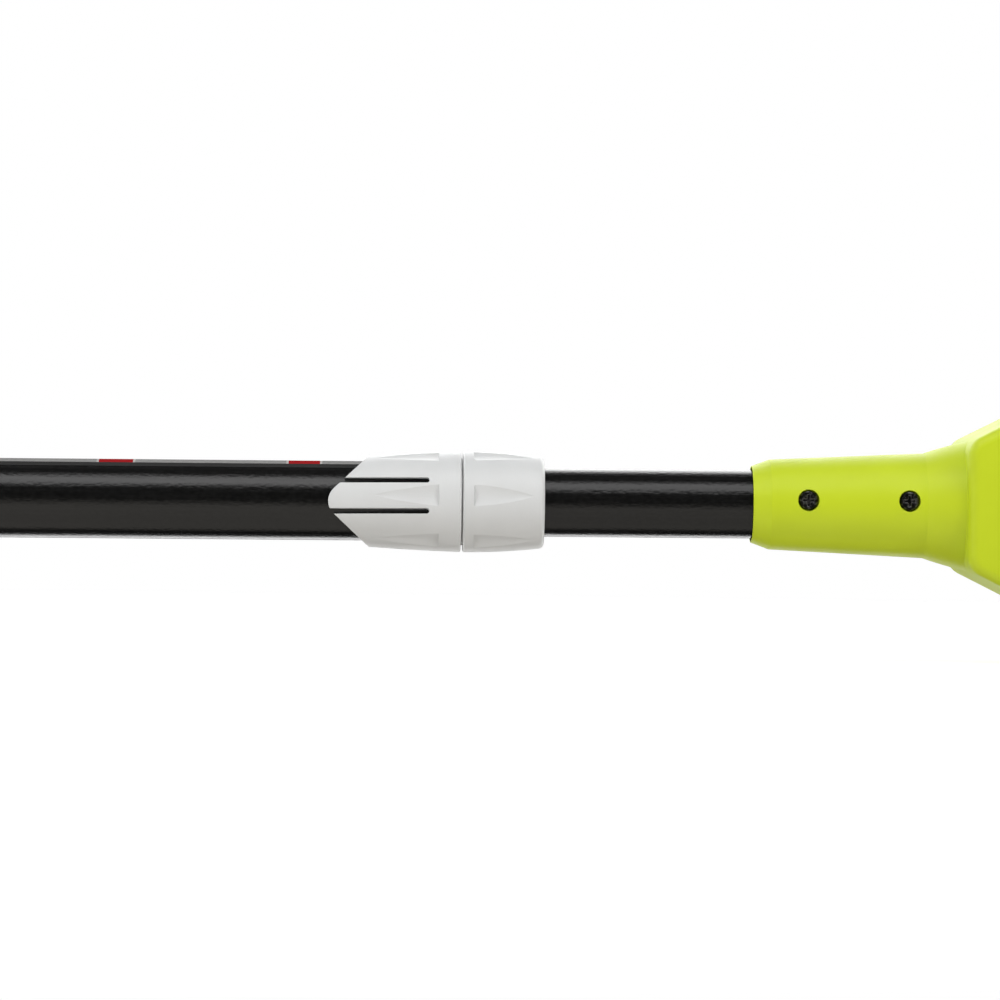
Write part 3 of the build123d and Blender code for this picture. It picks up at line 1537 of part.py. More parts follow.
if __name__ == "__main__":
    os.makedirs("parts", exist_ok=True)
    for name, shape in all_parts().items():
        export_step(shape, f"parts/{name}.step")
    print("chain pitch", round(chain_pitch(), 3), "mm")
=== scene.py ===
"""Looks of a telescoping pole saw: finishes for every piece, small trim and a studio stage."""

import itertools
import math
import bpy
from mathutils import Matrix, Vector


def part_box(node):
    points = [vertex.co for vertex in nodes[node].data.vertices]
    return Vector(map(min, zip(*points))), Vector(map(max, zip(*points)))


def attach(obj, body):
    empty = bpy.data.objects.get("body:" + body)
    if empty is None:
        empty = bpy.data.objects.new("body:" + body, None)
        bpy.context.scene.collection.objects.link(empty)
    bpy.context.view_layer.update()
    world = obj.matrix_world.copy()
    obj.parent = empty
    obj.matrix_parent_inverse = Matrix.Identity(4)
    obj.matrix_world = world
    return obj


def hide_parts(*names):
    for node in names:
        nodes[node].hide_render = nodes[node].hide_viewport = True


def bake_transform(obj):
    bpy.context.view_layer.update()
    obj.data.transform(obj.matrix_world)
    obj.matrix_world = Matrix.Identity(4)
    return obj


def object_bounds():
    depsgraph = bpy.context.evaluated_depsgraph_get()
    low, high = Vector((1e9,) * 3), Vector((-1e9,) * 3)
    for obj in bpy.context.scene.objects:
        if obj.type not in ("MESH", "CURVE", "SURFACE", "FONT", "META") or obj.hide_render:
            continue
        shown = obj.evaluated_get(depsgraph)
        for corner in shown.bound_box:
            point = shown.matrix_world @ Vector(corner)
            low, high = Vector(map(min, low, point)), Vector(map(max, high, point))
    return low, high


bl_info = {
    "name": "Telescoping pole saw",
    "version": (1, 0, 0),
    "blender": (4, 5, 0),
    "location": "3D View > Sidebar > Pole saw",
    "description": "Finishes, small trim and a studio stage for a telescoping pole saw",
    "category": "Object",
}

import bpy
import numpy as np
from bpy.props import FloatProperty, FloatVectorProperty, IntProperty, PointerProperty
from mathutils import Matrix, Vector

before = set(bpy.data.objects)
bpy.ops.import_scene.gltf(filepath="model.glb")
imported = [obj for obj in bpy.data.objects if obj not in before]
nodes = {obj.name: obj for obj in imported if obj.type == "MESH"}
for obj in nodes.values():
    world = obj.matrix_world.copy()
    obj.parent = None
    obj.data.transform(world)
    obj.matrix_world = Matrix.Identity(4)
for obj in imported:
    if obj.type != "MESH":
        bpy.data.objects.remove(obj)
cad_box = [list(corner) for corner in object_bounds()]

# Lights, walls and floor, in metres
softbox_place = (0.0, -0.654, 1.007)
softbox_aim = (0.0, 0.0, 0.0)
softbox_size = (3.2, 0.60)
low_fill_place = (1.75, -1.25, -0.32)
high_fill_place = (1.60, -0.55, 1.15)
fill_size = (0.9, 0.9)
wall_length = 7.0
wall_distance = 2.0
high_wall = (0.5, 2.5)
low_wall = (-1.9, -0.70)
floor_reach = 1.3

# Tints of the light
table_tint = (1.04, 0.993, 0.92)
white = (1.0, 1.0, 1.0)

# Camera, in millimetres
sensor_width = 36.0
mm_per_metre = 1000.0

# Bars on the label strip, from start to stop as shares of its length
strip_bars = ((0.0049, 0.0798), (0.4218, 0.4967), (0.8377, 0.9067))
strip_line = 0.0049

# Sockets of a colour mix node, and where a ramp's new stops wait for their places
mix_first, mix_second, mix_result = 6, 7, 2
ramp_middle = 0.5

tube_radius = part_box("outer_tube")[1].z
sleeve_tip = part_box("lock_sleeve")[0].x


def colour(label, text, value):
    """A colour property."""
    return FloatVectorProperty(name=label, description=text, subtype="COLOR", size=3, min=0.0, max=1.0,
                               default=value)


def length(label, text, value):
    """A length property in metres."""
    return FloatProperty(name=label, description=text, unit="LENGTH", subtype="DISTANCE", min=0.0,
                         precision=5, default=value)


def brightness(label, text, value):
    """A brightness property, in which 1 is white."""
    return FloatProperty(name=label, description=text, min=0.0, max=10.0, default=value)


def wattage(label, text, value):
    """A lamp's power property."""
    return FloatProperty(name=label, description=text, unit="POWER", min=0.0, default=value)


def angle_in_degrees(label, text, value):
    """An angle property."""
    return FloatProperty(name=label, description=text, subtype="ANGLE", default=math.radians(value))


def whole_number(label, text, value):
    """A property that counts pieces."""
    return IntProperty(name=label, description=text, min=1, default=value)


class PoleSawFinish(bpy.types.PropertyGroup):
    """Colours of the saw's finishes."""
    pole_paint: colour("Pole paint", "Satin black paint of both tubes", (0.0040, 0.0040, 0.0039))
    pole_rub: colour("Pole rub marks", "Paint where the sliding tube has been rubbed", (0.012, 0.012, 0.012))
    collar: colour("Lock collar", "Light grey plastic of the twist lock", (0.712, 0.722, 0.722))
    collar_shade: colour("Lock collar shade", "The collar's duller blotches", (0.684, 0.694, 0.694))
    case: colour("Case", "Lime green plastic of the head and the handle", (0.58, 0.705, 0.014))
    case_shade: colour("Case shade", "The case's duller blotches", (0.567, 0.690, 0.012))
    dark: colour("Black plastic", "Grained black plastic", (0.012, 0.012, 0.0125))
    dark_shade: colour("Black plastic, rubbed", "The black plastic on its edges", (0.035, 0.035, 0.036))
    rubber: colour("Grip rubber", "Soft rubber of the grips", (0.011, 0.011, 0.011))
    dust: colour("Grip dust", "Dust that the rubber keeps", (0.024, 0.0235, 0.023))
    steel: colour("Steel", "Ground steel", (0.56, 0.565, 0.57))
    chain: colour("Chain steel", "Oiled steel of the chain's links", (0.20, 0.20, 0.205))
    bar_face: colour("Bar", "Ground face of the guide bar", (0.44, 0.44, 0.45))
    black_oxide: colour("Black oxide", "Blackened screws", (0.018, 0.018, 0.019))
    # Screw edges: partly steel rubbed bare, partly a painted highlight that stands in for glints
    screw_edge_wear_and_glint: colour("Screw edges", "Steel that shows on the screws' edges", (0.50, 0.50, 0.51))
    bush: colour("Bushes", "Natural plastic of the collet and the slide bush", (0.72, 0.71, 0.68))
    bush_shade: colour("Bush shade", "The bushes' duller blotches", (0.62, 0.61, 0.57))
    alloy: colour("Alloy", "Cast aluminium of the gear plate", (0.62, 0.62, 0.61))
    alloy_shade: colour("Alloy shade", "The casting's duller blotches", (0.48, 0.48, 0.48))
    brass: colour("Brass", "Brass of the battery's contacts", (0.72, 0.52, 0.20))
    cell: colour("Cells", "Wrap of the battery's cells", (0.05, 0.12, 0.30))
    cell_shade: colour("Cell shade", "The wrap's duller blotches", (0.04, 0.09, 0.24))
    tank: colour("Oil tank", "Milky plastic of the oil tank", (0.86, 0.82, 0.66))
    tank_shade: colour("Oil tank shade", "The tank's thicker bands", (0.80, 0.74, 0.55))
    gauge: colour("Charge gauge", "Green lenses of the charge gauge", (0.10, 0.42, 0.10))
    gauge_shade: colour("Charge gauge shade", "The lenses' duller blotches", (0.07, 0.33, 0.08))
    latch: colour("Latch", "Grey plastic of the battery's latch", (0.30, 0.31, 0.31))
    latch_shade: colour("Latch shade", "The latch's duller blotches", (0.27, 0.28, 0.28))
    strip: colour("Label strip", "Blank panel of the film on the outer tube", (0.27, 0.27, 0.265))
    strip_margin: colour("Label strip margin", "Dark margin along the film's sides", (0.040, 0.040, 0.040))
    strip_edge: colour("Strip bar edges", "Pale line round each bar", (0.50, 0.48, 0.47))
    strip_bar: colour("Strip bars", "Plain bars at the strip's ends", (0.345, 0.017, 0.020))


class PoleSawTrim(bpy.types.PropertyGroup):
    """Sizes of the trim that lies on the saw."""
    strip_lap: length("Strip lap", "How far the strip reaches past the sleeve's tip", 0.0128)
    strip_length: length("Strip length", "Along the tube", 0.1725)
    strip_half_angle: angle_in_degrees("Strip half angle", "Half of the arc that the strip covers", 34.0)
    strip_panel: FloatProperty(name="Strip panel", subtype="FACTOR", min=0.0, max=1.0, default=0.69,
                               description="Share of the strip's arc that the pale panel covers")
    strip_thickness: length("Strip thickness", "Thickness of the film", 0.00012)
    lead_radius: length("Lead radius", "Of the round lead inside the poles", 0.0025)
    lead_offset: length("Lead offset", "From the pole's axis to the middle of the lead", 0.005)
    lead_set_back: length("Lead set-back", "From the slide bush to the lead's coil", 0.020)
    lead_coil: length("Lead coil", "Length of the lead's coil at rest", 0.220)
    lead_turns: whole_number("Lead turns", "Turns of the lead's coil", 25)
    charge_bars: whole_number("Charge bars", "Bars of the charge gauge", 4)
    charge_bar_length: length("Charge bar length", "Across the battery", 0.0085)
    charge_bar_width: length("Charge bar width", "Up the battery", 0.0042)
    charge_bar_gap: length("Charge bar gap", "Between two bars", 0.0030)
    charge_bar_height: length("Charge bar height", "How far a bar stands proud", 0.0004)
    charge_bar_drop: length("Charge bar drop", "From the battery's top down to the bars", 0.022)


class PoleSawStage(bpy.types.PropertyGroup):
    """Camera, floor and lights."""
    target: FloatVectorProperty(name="Camera target", description="Point in the middle of the picture",
                                subtype="XYZ", unit="LENGTH", size=3, default=(0.2251, 0.0, 0.0008))
    distance: length("Camera distance", "From the camera to its target", 1.9)
    focal: length("Focal length", "Lens length as metres on a 36 mm sensor", 0.180)
    yaw: angle_in_degrees("Camera yaw", "How far the camera looks round to the saw's front", 1.4)
    roll: angle_in_degrees("Camera roll", "How far the camera is turned about its line of sight", 0.5)
    backdrop: brightness("Backdrop", "Light of the white wall behind the saw", 1.0)
    low_backdrop: brightness("Low backdrop", "Light of the wall below the saw's level", 0.6)
    backdrop_shine: brightness("Backdrop shine", "Brightness of the wall that only reflections show", 2.7)
    low_backdrop_shine: brightness("Low backdrop shine", "The same below the saw's level", 2.0)
    skirting: brightness("Skirting", "Light of the wall's foot, level with the saw", 0.03)
    table: brightness("Table", "Brightness of the pale table in front of the saw", 0.74)
    table_edge: brightness("Table edge", "Brightness of the pale table under the saw", 0.60)
    shade: brightness("Shade", "Brightness of the room behind the camera and overhead", 0.035)
    softbox: wattage("Softbox", "Power of the large light above", 15.6)
    low_fill: wattage("Low fill", "Power of each of the two low lights at the sides", 45.0)
    high_fill: wattage("High fill", "Power of each of the two high lights at the sides", 5.0)
    floor_paper: colour("Floor", "Pale paper under the saw", (0.86, 0.86, 0.86))
    floor_glow: brightness("Floor glow", "Light that the pale floor gives off by itself", 0.64)


class Finish:
    """A material being put together: one Principled shader fed by textures on Object coordinates."""

    def __init__(self, name, metallic=0.0, specular=0.5):
        self.material = bpy.data.materials.new(name)
        self.material.use_nodes = True
        self.tree = self.material.node_tree
        self.shader = self.tree.nodes["Principled BSDF"]
        self.shader.inputs["Metallic"].default_value = metallic
        self.shader.inputs["Specular IOR Level"].default_value = specular
        self.place = self.node("ShaderNodeTexCoord").outputs["Object"]

    def node(self, kind, **settings):
        """A new node with its settings."""
        made = self.tree.nodes.new(kind)
        for key, value in settings.items():
            setattr(made, key, value)
        return made

    def feed(self, socket, value):
        """Links a socket to another node's output, or sets its own value."""
        if isinstance(value, bpy.types.NodeSocket):
            self.tree.links.new(value, socket)
        elif isinstance(value, (int, float)):
            socket.default_value = value
        else:
            socket.default_value = (*value[:3], 1.0) if len(socket.default_value) == 4 else value

    def noise(self, size, detail=2.0, drawn=(1, 1, 1)):
        """Noise with blotches about size metres across, drawn out along the axes by the factors in drawn."""
        mapping = self.node("ShaderNodeMapping")
        self.feed(mapping.inputs["Vector"], self.place)
        mapping.inputs["Scale"].default_value = [1 / (size * factor) for factor in drawn]
        texture = self.node("ShaderNodeTexNoise")
        self.feed(texture.inputs["Vector"], mapping.outputs["Vector"])
        texture.inputs["Scale"].default_value = 1.0
        texture.inputs["Detail"].default_value = detail
        return texture.outputs["Fac"]

    def spread(self, value, low, high, start=0.35, stop=0.65):
        """Carries the range start to stop of a texture over to low to high."""
        ranged = self.node("ShaderNodeMapRange")
        self.feed(ranged.inputs["Value"], value)
        for socket, number in zip(("From Min", "From Max", "To Min", "To Max"), (start, stop, low, high)):
            ranged.inputs[socket].default_value = number
        return ranged.outputs["Result"]

    def blend(self, share, first, second):
        """Goes from the first colour to the second as share goes from 0 to 1."""
        mixed = self.node("ShaderNodeMix", data_type="RGBA")
        self.feed(mixed.inputs["Factor"], share)
        self.feed(mixed.inputs[mix_first], first)
        self.feed(mixed.inputs[mix_second], second)
        return mixed.outputs[mix_result]

    def sum(self, first, second, weight):
        """The first value plus weight times the second."""
        added = self.node("ShaderNodeMath", operation="MULTIPLY_ADD")
        self.feed(added.inputs[0], second)
        added.inputs[1].default_value = weight
        self.feed(added.inputs[2], first)
        return added.outputs["Value"]

    def rounded(self, radius):
        """The surface's normal with its sharp edges eased to a small radius."""
        eased = self.node("ShaderNodeBevel", samples=4)
        eased.inputs["Radius"].default_value = radius
        return eased.outputs["Normal"]

    def edges(self, radius):
        """1 on sharp edges and 0 on open faces: how far the eased normal leaves the true one."""
        lined_up = self.node("ShaderNodeVectorMath", operation="DOT_PRODUCT")
        self.feed(lined_up.inputs[0], self.rounded(radius))
        self.feed(lined_up.inputs[1], self.node("ShaderNodeNewGeometry").outputs["Normal"])
        return self.spread(lined_up.outputs["Value"], low=1.0, high=0.0, start=0.72, stop=0.97)

    def surface(self, base, roughness, height, depth, ease=0.0003):
        """Feeds the shader: colour, roughness, and a bump of the given depth over eased edges."""
        self.feed(self.shader.inputs["Base Color"], base)
        self.feed(self.shader.inputs["Roughness"], roughness)
        bump = self.node("ShaderNodeBump")
        bump.inputs["Distance"].default_value = depth
        bump.inputs["Strength"].default_value = 1.0
        self.feed(bump.inputs["Height"], height)
        if ease:
            self.feed(bump.inputs["Normal"], self.rounded(ease))
        self.feed(self.shader.inputs["Normal"], bump.outputs["Normal"])
        return self.material


def toned(base, factor):
    """A colour times a factor, kept within white."""
    return tuple(min(1.0, factor * channel) for channel in base)


def dress(material, *names):
    """Puts a material on the CAD nodes of these names."""
    for name in names:
        for slot in nodes[name].material_slots:
            slot.material = material


def painted_pole(name, paint, rub, rub_share, specular):
    """Satin paint on a drawn tube: fine grain, lengthwise draw lines and faint rub marks."""
    made = Finish(name, specular=specular)
    grain = made.noise(size=0.0011, detail=4.0, drawn=(1.3, 1, 1))
    lines = made.noise(size=0.0007, detail=3.0, drawn=(120, 1, 1))
    scuffs = made.noise(size=0.0011, detail=4.0, drawn=(60, 1, 1))
    marks = made.spread(scuffs, low=0.0, high=rub_share, start=0.56, stop=0.72)
    speckle = made.spread(grain, low=0.0, high=0.5)
    base = made.blend(marks, made.blend(speckle, paint, rub), rub)
    roughness = made.spread(lines, low=0.17, high=0.25)
    return made.surface(base, roughness, made.sum(grain, lines, weight=0.04), depth=0.00010)


def moulded(name, base, shade, roughness, grain, depth, ease=0.0003):
    """Moulded plastic: slow blotches of tint, a fine grain, and roughness that varies with both."""
    made = Finish(name)
    blotches = made.spread(made.noise(size=0.018, detail=3.0), low=0.0, high=1.0)
    fine = made.noise(grain)
    dull = made.spread(fine, low=roughness - 0.04, high=roughness + 0.04)
    dull = made.sum(dull, blotches, weight=0.04)
    return made.surface(made.blend(blotches, base, shade), dull, fine, depth, ease)


def grained(name, base, shade, roughness):
    """Black plastic with a spark-eroded grain, paler where its edges are handled."""
    made = Finish(name, specular=0.42)
    fine = made.noise(size=0.00045, detail=3.0)
    patches = made.spread(made.noise(size=0.006), low=-0.5, high=0.1)
    worn = made.sum(made.edges(radius=0.0007), patches, weight=1.0)
    base = made.blend(made.spread(worn, low=0.0, high=0.7, start=0.0, stop=1.0), base, shade)
    dull = made.spread(fine, low=roughness - 0.07, high=roughness + 0.07)
    return made.surface(base, dull, fine, depth=0.00006)


def soft_rubber(name, base, dust):
    """Matt rubber: stipple, a little dust in slow patches, and no gloss to speak of."""
    made = Finish(name, specular=0.3)
    stipple = made.noise(size=0.0006, detail=1.0)
    dusty = made.spread(made.noise(size=0.012, detail=4.0), low=0.0, high=0.3)
    base = made.blend(dusty, base, dust)
    return made.surface(base, made.spread(stipple, low=0.68, high=0.85), stipple, depth=0.0001)


def ground_steel(name, base, roughness, drawn, stain):
    """Steel with grinding lines drawn out along one axis, slow stains, and bright edges."""
    made = Finish(name, metallic=1.0)
    lines = made.noise(size=0.0004, detail=3.0, drawn=drawn)
    stains = made.spread(made.noise(size=0.009, detail=4.0), low=0.0, high=stain)
    tone = made.blend(stains, base, toned(base, factor=0.62))
    tone = made.blend(made.edges(radius=0.0004), tone, toned(base, factor=1.35))
    scored = made.spread(lines, low=roughness - 0.07, high=roughness + 0.09)
    dull = made.sum(scored, stains, weight=0.12)
    return made.surface(tone, dull, lines, depth=0.00001)


def blackened(name, base, edge):
    """Black oxide on steel: a dark skin with a fine tooth, paler along its edges, partly as steel rubbed bare
    and partly as painted glints.
    """
    made = Finish(name, metallic=1.0)
    fine = made.noise(size=0.0003, detail=3.0)
    patches = made.spread(made.noise(size=0.0012), low=-0.25, high=0.35)
    # Edge mask for the pale steel colour: partly wear, partly painted glints
    rubbed = made.sum(made.edges(radius=0.0005), patches, weight=1.0)
    tone = made.blend(made.spread(rubbed, low=0.0, high=1.0, start=0.0, stop=1.0), base, edge)
    return made.surface(tone, made.spread(fine, low=0.28, high=0.42), fine, depth=0.00003)


def cast_alloy(name, base, shade):
    """Cast aluminium: a sandy skin with blotchy roughness."""
    made = Finish(name, metallic=1.0)
    sand = made.noise(size=0.0009, detail=3.0)
    blotches = made.spread(made.noise(size=0.008, detail=3.0), low=0.0, high=1.0)
    tone = made.blend(blotches, base, shade)
    return made.surface(tone, made.spread(sand, low=0.45, high=0.65), sand, depth=0.00012)


def clear_tank(name, base, shade):
    """Milky tank plastic that lets some light through, with slow bands of thickness."""
    made = Finish(name)
    made.shader.inputs["Transmission Weight"].default_value = 0.55
    made.shader.inputs["IOR"].default_value = 1.46
    bands = made.spread(made.noise(size=0.012), low=0.0, high=1.0)
    tone = made.blend(bands, base, shade)
    fine = made.noise(size=0.0006)
    return made.surface(tone, made.spread(fine, low=0.34, high=0.46), fine, depth=0.00003)


def printed_film(name, paper, edge, bar, margin, bars, line, panel):
    """Blank printed film: the strip's own map picks plain bars along it, with a pale line at each end,
    and dark margins on both sides of a mottled panel."""
    made = Finish(name, specular=0.0)
    flat = made.node("ShaderNodeSeparateXYZ")
    made.feed(flat.inputs["Vector"], made.node("ShaderNodeUVMap", uv_map="strip").outputs["UV"])

    def inside(way, middle, reach):
        """1 within reach of the middle along one way of the map."""
        near = made.node("ShaderNodeMath", operation="COMPARE")
        made.feed(near.inputs[0], flat.outputs[way])
        near.inputs[1].default_value = middle
        near.inputs[2].default_value = reach
        return near.outputs["Value"]

    mottle = made.spread(made.noise(size=0.0012, detail=4.0), low=0.0, high=0.18)
    tone = made.blend(mottle, paper, edge)
    for start, stop in bars:
        for grow, shade in ((line, edge), (0.0, bar)):
            within = inside("X", middle=(start + stop) / 2, reach=(stop - start) / 2 + grow)
            tone = made.blend(within, tone, shade)
    tone = made.blend(inside("Y", middle=0.5, reach=panel / 2), margin, tone)
    fine = made.noise(size=0.0004)
    return made.surface(tone, made.spread(fine, low=0.40, high=0.50), fine, depth=0.00001, ease=0.0)


def put_in_scene(name, points, faces, material):
    """A smooth mesh object of these points and faces, with one slot holding the given material."""
    mesh = bpy.data.meshes.new(name)
    mesh.from_pydata(points.reshape(-1, 3), [], faces)
    mesh.polygons.foreach_set("use_smooth", np.ones(len(faces), bool))
    mesh.materials.append(material)
    mesh.validate()
    piece = bpy.data.objects.new(name, mesh)
    bpy.context.scene.collection.objects.link(piece)
    return piece


def quads(rows, columns, first=0, closed=False):
    """Faces between neighbours on a grid of points stored row by row. If closed is set, the last column is
    joined to the first."""
    steps_across = columns if closed else columns - 1
    row, column = np.meshgrid(np.arange(rows - 1), np.arange(steps_across), indexing="ij")
    following = (column + 1) % columns
    corners = (row * columns + column, row * columns + following,
               (row + 1) * columns + following, (row + 1) * columns + column)
    return np.stack([first + corner.ravel() for corner in corners], axis=1)


def film_on_tube(rear, front, radius, thickness, half_angle, along=60, around=24):
    """Film bent round a tube along X: each section is a thin closed loop, out along the arc at radius plus
    thickness and back at radius, carried from rear to front, with a flat face at each end."""
    arc = np.linspace(-half_angle, half_angle, around)
    angle = np.concatenate([arc, arc[::-1]])
    reach = radius + np.repeat([thickness, 0.0], around)
    run = np.linspace(rear, front, along)
    points = np.empty((along, 2 * around, 3))
    points[..., 0] = run[:, None]
    points[..., 1] = reach * np.sin(angle)
    points[..., 2] = reach * np.cos(angle)
    ring = np.arange(2 * around)
    ends = [ring[::-1].tolist(), (ring + (along - 1) * 2 * around).tolist()]
    return points, quads(along, 2 * around, closed=True)[:, ::-1].tolist() + ends


def coiled_lead(rear, front, coil, offset, radius, turns, per_turn=24, around=10):
    """A round lead along X that keeps one distance from the pole's axis. Its angle about the axis stays at
    the bottom along both runs and grows evenly through the coil, eased in over the first and last turn. A
    circle is carried along that path, square to it."""
    run = np.concatenate([np.linspace(rear, coil[0], per_turn, endpoint=False),
                          np.linspace(*coil, per_turn * turns, endpoint=False),
                          np.linspace(coil[1], front, per_turn)])
    share = np.clip((run - coil[0]) / (coil[1] - coil[0]), 0.0, 1.0)
    rate = np.minimum(1.0, turns * np.minimum(share, 1 - share))
    angle = np.cumsum(rate * np.gradient(run))
    angle *= 2 * np.pi * turns / angle[-1]
    out = np.stack([np.zeros_like(run), np.sin(angle), -np.cos(angle)], axis=1)
    path = offset * out
    path[:, 0] = run
    ahead = np.gradient(path, axis=0)
    ahead /= np.linalg.norm(ahead, axis=1, keepdims=True)
    side = np.cross(ahead, out)
    side /= np.linalg.norm(side, axis=1, keepdims=True)
    up = np.cross(side, ahead)
    turn = np.linspace(0.0, 2 * np.pi, around, endpoint=False)[:, None]
    points = path[:, None] + radius * (np.cos(turn) * up[:, None] + np.sin(turn) * side[:, None])
    ring = np.arange(around)
    ends = [ring[::-1].tolist(), (ring + (len(run) - 1) * around).tolist()]
    return points, quads(len(run), around, closed=True).tolist() + ends


def crowned_pad(centre, half_width, half_length, height, power=5.0, rings=9, around=48):
    """A low pad on a face towards -X: rings of a superellipse that shrink to a point while the height grows
    as the square root of one minus the ring's size to the fourth, which crowns the top and rounds its
    edge."""
    turn = np.linspace(0.0, 2 * np.pi, around, endpoint=False)
    share = np.cos(np.linspace(0.0, np.pi / 2, rings, endpoint=False)) ** 0.5
    wide = np.sign(np.cos(turn)) * np.abs(np.cos(turn)) ** (2 / power)
    high = np.sign(np.sin(turn)) * np.abs(np.sin(turn)) ** (2 / power)
    points = np.empty((rings, around, 3))
    points[..., 0] = -(height * np.sqrt(np.maximum(0.0, 1 - share ** 4)))[:, None]
    points[..., 1] = half_length * share[:, None] * wide
    points[..., 2] = half_width * share[:, None] * high
    tip = np.array([[-height, 0.0, 0.0]])
    points = np.concatenate([points.reshape(-1, 3), tip]) + np.array(centre)
    last = (rings - 1) * around + np.arange(around)
    fan = np.stack([last, np.roll(last, -1), np.full(around, rings * around)], axis=1)
    bottom = np.arange(around)
    return points, quads(rings, around, closed=True).tolist() + fan.tolist() + [bottom[::-1].tolist()]


class POLESAW_OT_poles(bpy.types.Operator):
    """Paints the outer tube and the sliding tube"""
    bl_idname = "polesaw.poles"
    bl_label = "Poles"

    def execute(self, context):
        finish = context.scene.pole_saw_finish
        for node, name, rub_share, specular in (("outer_tube", "outer_pole_paint", 0.25, 0.5),
                                                ("inner_tube", "inner_pole_paint", 0.6, 0.43)):
            dress(painted_pole(name, finish.pole_paint, finish.pole_rub, rub_share, specular), node)
        return {"FINISHED"}


class POLESAW_OT_lock_collar(bpy.types.Operator):
    """Finishes the twist lock's sleeve and nut, and the bushes inside"""
    bl_idname = "polesaw.lock_collar"
    bl_label = "Lock collar"

    def execute(self, context):
        finish = context.scene.pole_saw_finish
        pale = moulded("collar_plastic", finish.collar, finish.collar_shade,
                       roughness=0.42, grain=0.0006, depth=0.00003)
        dress(pale, "lock_sleeve", "lock_nut")
        natural = moulded("bush_plastic", finish.bush, finish.bush_shade,
                          roughness=0.50, grain=0.0008, depth=0.00003)
        dress(natural, "clamp_collet", "slide_bush")
        return {"FINISHED"}


class POLESAW_OT_cases(bpy.types.Operator):
    """Finishes the green halves of the saw head and of the rear handle"""
    bl_idname = "polesaw.cases"
    bl_label = "Green cases"

    def execute(self, context):
        finish = context.scene.pole_saw_finish
        green = moulded("case_plastic", finish.case, finish.case_shade,
                        roughness=0.50, grain=0.0009, depth=0.00002)
        dress(green, "head_left_shell", "head_right_shell", "handle_left_shell", "handle_right_shell")
        return {"FINISHED"}


class POLESAW_OT_black_plastic(bpy.types.Operator):
    """Finishes the black covers, the controls, the hook and the battery's case"""
    bl_idname = "polesaw.black_plastic"
    bl_label = "Black plastic"

    def execute(self, context):
        finish = context.scene.pole_saw_finish
        dress(grained("cover_plastic", finish.dark, finish.dark_shade, roughness=0.48),
              "sprocket_cover", "branch_hook", "battery_front_case", "battery_rear_case", "battery_rail")
        dress(grained("control_plastic", finish.dark, finish.dark_shade, roughness=0.40),
              "cover_knob", "oil_cap", "trigger", "lock_off_button", "trigger_switch")
        grey = moulded("latch_plastic", finish.latch, finish.latch_shade,
                       roughness=0.45, grain=0.0006, depth=0.00005)
        dress(grey, "battery_latch")
        return {"FINISHED"}


class POLESAW_OT_grips(bpy.types.Operator):
    """Finishes the rubber of the foregrip and the handle's pad"""
    bl_idname = "polesaw.grips"
    bl_label = "Grips"

    def execute(self, context):
        finish = context.scene.pole_saw_finish
        dress(soft_rubber("grip_rubber", finish.rubber, finish.dust), "foregrip", "handle_grip_pad")
        return {"FINISHED"}


class POLESAW_OT_bar_and_chain(bpy.types.Operator):
    """Finishes the guide bar, the nose sprocket and the chain's links and cutters"""
    bl_idname = "polesaw.bar_and_chain"
    bl_label = "Bar and chain"

    def execute(self, context):
        finish = context.scene.pole_saw_finish
        dress(ground_steel("bar_steel", finish.bar_face, roughness=0.34, drawn=(90, 1, 1), stain=0.25),
              "guide_bar")
        dress(ground_steel("chain_steel", finish.chain, roughness=0.38, drawn=(4, 1, 4), stain=0.7),
              "chain_drive_links", "chain_tie_straps")
        dress(ground_steel("cutter_steel", finish.steel, roughness=0.24, drawn=(6, 1, 6), stain=0.35),
              "chain_cutters")
        return {"FINISHED"}


class POLESAW_OT_drive(bpy.types.Operator):
    """Finishes the motor, the gears, the shaft and the other metal inside the head and the battery"""
    bl_idname = "polesaw.drive"
    bl_label = "Drive"

    def execute(self, context):
        finish = context.scene.pole_saw_finish
        dress(ground_steel("turned_steel", finish.steel, roughness=0.30, drawn=(1, 40, 1), stain=0.4),
              "drive_shaft", "drive_sprocket", "nose_sprocket", "shaft_bearings", "drive_gear",
              "motor_pinion", "motor_can", "motor_rotor", "bar_stud", "tension_peg", "trigger_pin")
        dress(cast_alloy("gear_plate_alloy", finish.alloy, finish.alloy_shade), "gear_plate")
        dress(ground_steel("contact_brass", finish.brass, roughness=0.30, drawn=(1, 1, 20), stain=0.4),
              "battery_contacts")
        wrap = moulded("cell_wrap", finish.cell, finish.cell_shade,
                       roughness=0.35, grain=0.0008, depth=0.00002)
        dress(wrap, "battery_cells")
        dress(clear_tank("tank_plastic", finish.tank, finish.tank_shade), "oil_tank")
        return {"FINISHED"}


class POLESAW_OT_fasteners(bpy.types.Operator):
    """Finishes the blackened screws and the chain's tension screw"""
    bl_idname = "polesaw.fasteners"
    bl_label = "Fasteners"

    def execute(self, context):
        finish = context.scene.pole_saw_finish
        dress(blackened("screw_black_oxide", finish.black_oxide, finish.screw_edge_wear_and_glint),
              "head_screws", "handle_screws")
        dress(ground_steel("tension_screw_steel", finish.steel, roughness=0.32, drawn=(1, 8, 8), stain=0.4),
              "tension_screw")
        return {"FINISHED"}


